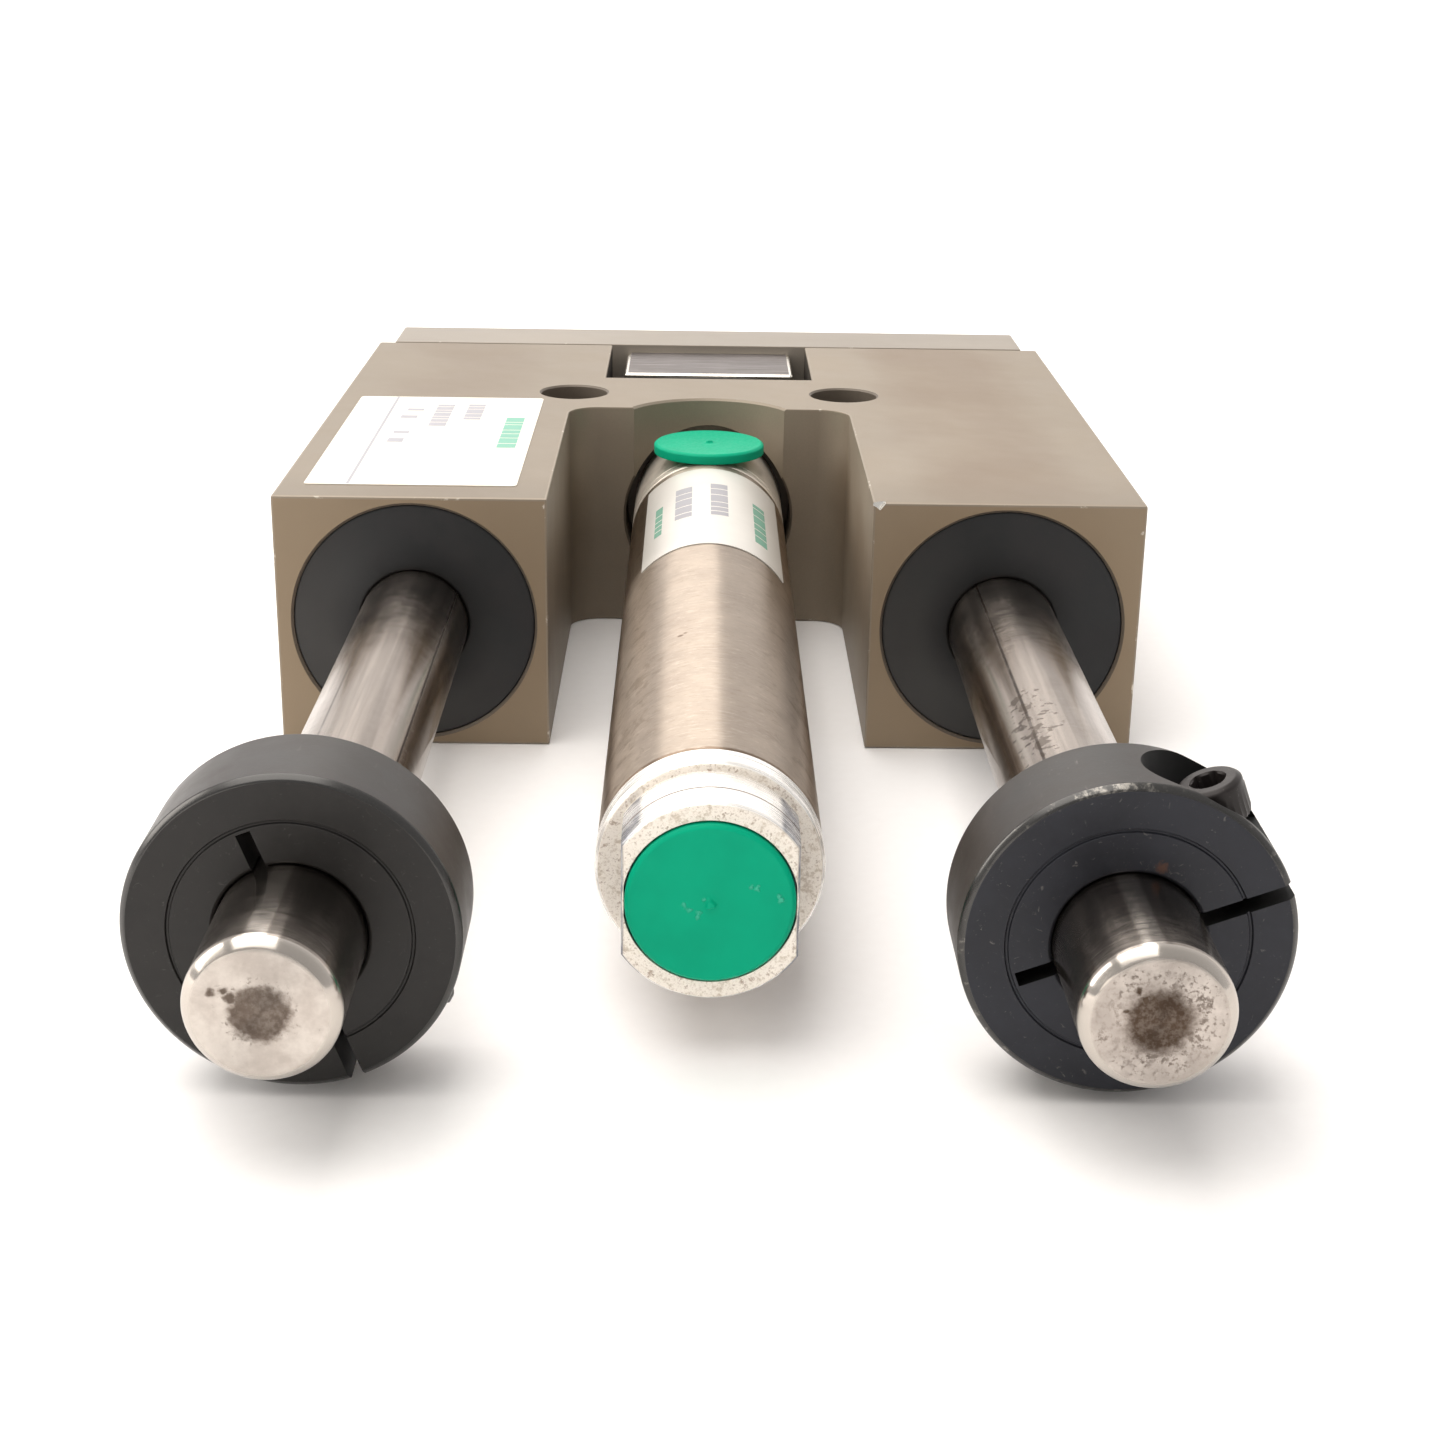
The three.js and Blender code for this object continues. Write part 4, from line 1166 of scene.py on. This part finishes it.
plate_finishes = [
    anodised("anodised_plate", (0.28, 0.245, 0.205), seed=17.0),
    worn_edge("plate_edges", (0.28, 0.243, 0.20), (0.60, 0.54, 0.47)),
    # Darker hole walls: painted shade in the holes.
    anodised("anodised_plate_holes", (0.20, 0.17, 0.14), seed=6.0),
]
piece("plate", build_plate(), "carriage", plate_finishes, ["tooling_plate"])


def build_coupling():
    low, high, _ = span("coupling_block")
    bm = slab(low.x, high.x, low.y, high.y, low.z, high.z, bevel=0.6, segments=3, edge_material=1)
    through = moved(drilled(3.22, low.y, high.y - 7, mouth=0.4, finish=0), 0, 0, AXIS_Z)
    pocket = moved(drilled(7.0, high.y, high.y - 7.5, finish=0), 0, 0, AXIS_Z)
    return carved(bm, [through, pocket])


coupling_finishes = [
    machined("coupling_face", (0.17, 0.15, 0.143), 0.4, lines=(0.04, 1, 1), size=0.25, depth=0.006),
    machined("coupling_edge", (0.9, 0.86, 0.78), 0.22, size=0.4),
]
piece("coupling", build_coupling(), "carriage", coupling_finishes, ["coupling_block"])


def build_piston_rod():
    low, high, _ = span("piston_rod")
    shoulder = span("coupling_block")[0].y - 0.5
    thread = []
    y = shoulder + 0.4
    while y < high.y - 1:
        thread += [(3.08, y), (2.75, y + 0.5)]
        y += 1.0
    return turned(
        [
            (0, low.y), (2.4, low.y), (2.4, low.y + 11.05), (3.175, low.y + 11.05, 0.1),
            (3.175, shoulder, 0.1), (3.08, shoulder + 0.1),
            *thread,
            (2.75, high.y - 0.5), (2.5, high.y), (0, high.y),
        ],
        FINE,
    )


polished = machined("piston_rod_steel", (0.66, 0.64, 0.62), 0.12, size=0.2, depth=0.0008)
piston_rod = moved(build_piston_rod(), 0, 0, AXIS_Z)
piece("rod_of_piston", piston_rod, "carriage", [polished], ["piston_rod"])

PLATE_SCREW = (4.76, 6.35, 3.175, 19.05, 4.76)
COUPLING_SCREW = (3.96, 4.83, 2.4, 19.05, 3.97)
for side, x in ROD_X.items():
    oxide = black_oxide(f"plate_screw_oxide_{side}", CHARCOAL, (x, AXIS_Z), 0.4, 0.4)
    seat = (x, PLATE_HIGH.y - 6.55, AXIS_Z)
    place_screw(f"plate_screw_{side}", PLATE_SCREW, "carriage", seat, None, oxide, pitch=1.27)
for level, sign in (("lower", -1), ("upper", 1)):
    oxide = black_oxide(f"coupling_screw_oxide_{level}", CHARCOAL, (3.0, AXIS_Z * sign), 0.4, 0.4)
    seat = (0, PLATE_HIGH.y - 5.25, AXIS_Z + sign * 9.9)
    place_screw(f"coupling_screw_{level}", COUPLING_SCREW, "carriage", seat, None, oxide, pitch=1.06)


# CAD nodes that stay: they are inside, or too plain to need a new shape

inner_finishes = {
    "bushing_steel": (machined("bushing_steel", (0.55, 0.55, 0.56), 0.3), ("linear_bushing",)),
    "spacer_metal": (machined("spacer_aluminium", (0.7, 0.68, 0.65), 0.35), ("bushing_spacer", "piston")),
    "soft_black": (rubber("inner_rubber", 50.0), ("oring", "bumper", "seal")),
    "bronze": (machined("bearing_bronze", (0.52, 0.33, 0.13), 0.35), ("rod_bushing",)),
    "lock_nut": (zinc, ("rod_lock_nut",)),
}
for node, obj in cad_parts.items():
    if obj.hide_render:
        continue
    fits = [made for made, words in inner_finishes.values() if any(word in node for word in words)]
    finish = inner_finishes["soft_black"][0] if "seal" in node else fits[0]
    obj.data.materials.clear()
    obj.data.materials.append(finish)


# Floor, lights and camera


def floor_finish():
    f = Finish("studio_floor", (0.92, 0.90, 0.89), 0.0, 0.7)
    paper = f.noise(1.5, detail=3)
    f.set("Base Color", f.mix(paper, (0.90, 0.88, 0.87), (0.93, 0.915, 0.905)))
    f.set("Emission Color", (1.0, 0.97, 0.95))
    lit = f.step(f.distance(0, -20, 0), 160, 700, 0.0, 0.5)  # the sweep is lit from behind, away from the object
    f.set("Emission Strength", lit)
    return f.material


FLOOR_REACH = 12000  # millimetres to each side and towards the camera


def build_floor():
    """A wide sheet that lies flat and sweeps up far behind the object."""
    bm = bmesh.new()
    bend, behind = 700.0, 1500.0
    turns = [math.radians(90 * k / 24) for k in range(25)]
    section = [(-FLOOR_REACH, -0.05)] + [(behind + bend * math.sin(a), bend - bend * math.cos(a) - 0.05) for a in turns]
    section.append((behind + bend, 2500))
    rows = [[bm.verts.new((x, y, z)) for x in (-FLOOR_REACH, FLOOR_REACH)] for y, z in section]
    for one, two in zip(rows, rows[1:]):
        bm.faces.new((one[0], one[1], two[1], two[0])).smooth = True
    return bm


floor = scratch_object(build_floor(), "floor")
floor.data.transform(Matrix.Scale(MM, 4))
floor.data.materials.append(floor_finish())


def area_light(name, place, target, size, power, color=(1, 1, 1)):
    light = bpy.data.lights.new(name, "AREA")
    light.shape = "RECTANGLE"
    light.size, light.size_y = size
    light.energy = power
    light.color = color
    made = bpy.data.objects.new(name, light)
    bpy.context.scene.collection.objects.link(made)
    made.location = place
    made.rotation_euler = (Vector(target) - Vector(place)).to_track_quat("-Z", "Y").to_euler()
    return made


area_light("top_softbox", (-0.2, 0.14, 0.6), (-0.2, 0.14, 0), (0.56, 1.32), 6.7, (1.0, 0.97, 0.93))
area_light("left_window", (-0.78, -0.1, 0.38), (0, -0.05, 0.02), (0.4, 0.5), 3.3, (1.0, 0.96, 0.9))
area_light("front_left", (-0.6, -1.0, 0.22), (0, -0.05, 0.02), (0.6, 0.3), 0.8, (1.0, 0.95, 0.88))

world = bpy.data.worlds.new("studio")
bpy.context.scene.world = world
world.use_nodes = True
nodes, links = world.node_tree.nodes, world.node_tree.links
direction = nodes.new("ShaderNodeTexCoord").outputs["Generated"]
parts = nodes.new("ShaderNodeSeparateXYZ")
links.new(direction, parts.inputs[0])
facing = nodes.new("ShaderNodeMapRange")  # darker room behind the camera, white backdrop behind the object
facing.interpolation_type = "SMOOTHSTEP"
for key, value in (("From Min", -0.6), ("From Max", 0.5), ("To Min", 0.58), ("To Max", 1.0)):
    facing.inputs[key].default_value = value
links.new(parts.outputs["Y"], facing.inputs["Value"])
background = nodes["Background"]
background.inputs["Color"].default_value = (1.0, 0.985, 0.97, 1)
links.new(facing.outputs[0], background.inputs["Strength"])

CAMERA_PLACE = Vector((-1.53, -317.97, 97.30)) * MM
YAW, PITCH, ROLL = (math.radians(a) for a in (0.748, 20.10, 0.894))
camera_data = bpy.data.cameras.new("camera")
camera_data.sensor_width = 36
camera_data.lens = 56.60
camera_data.clip_start = 0.01
camera = bpy.data.objects.new("camera", camera_data)
bpy.context.scene.collection.objects.link(camera)
forward = Vector((math.sin(YAW) * math.cos(PITCH), math.cos(YAW) * math.cos(PITCH), -math.sin(PITCH)))
level = forward.cross(Vector((0, 0, 1))).normalized()
upward = level.cross(forward)
right = level * math.cos(ROLL) + upward * math.sin(ROLL)
up = upward * math.cos(ROLL) - level * math.sin(ROLL)
camera.matrix_world = Matrix.Translation(CAMERA_PLACE) @ Matrix((right, up, -forward)).transposed().to_4x4()
bpy.context.scene.camera = camera

bpy.context.scene.view_settings.view_transform = "Standard"
bpy.context.scene.view_settings.exposure = 0.0
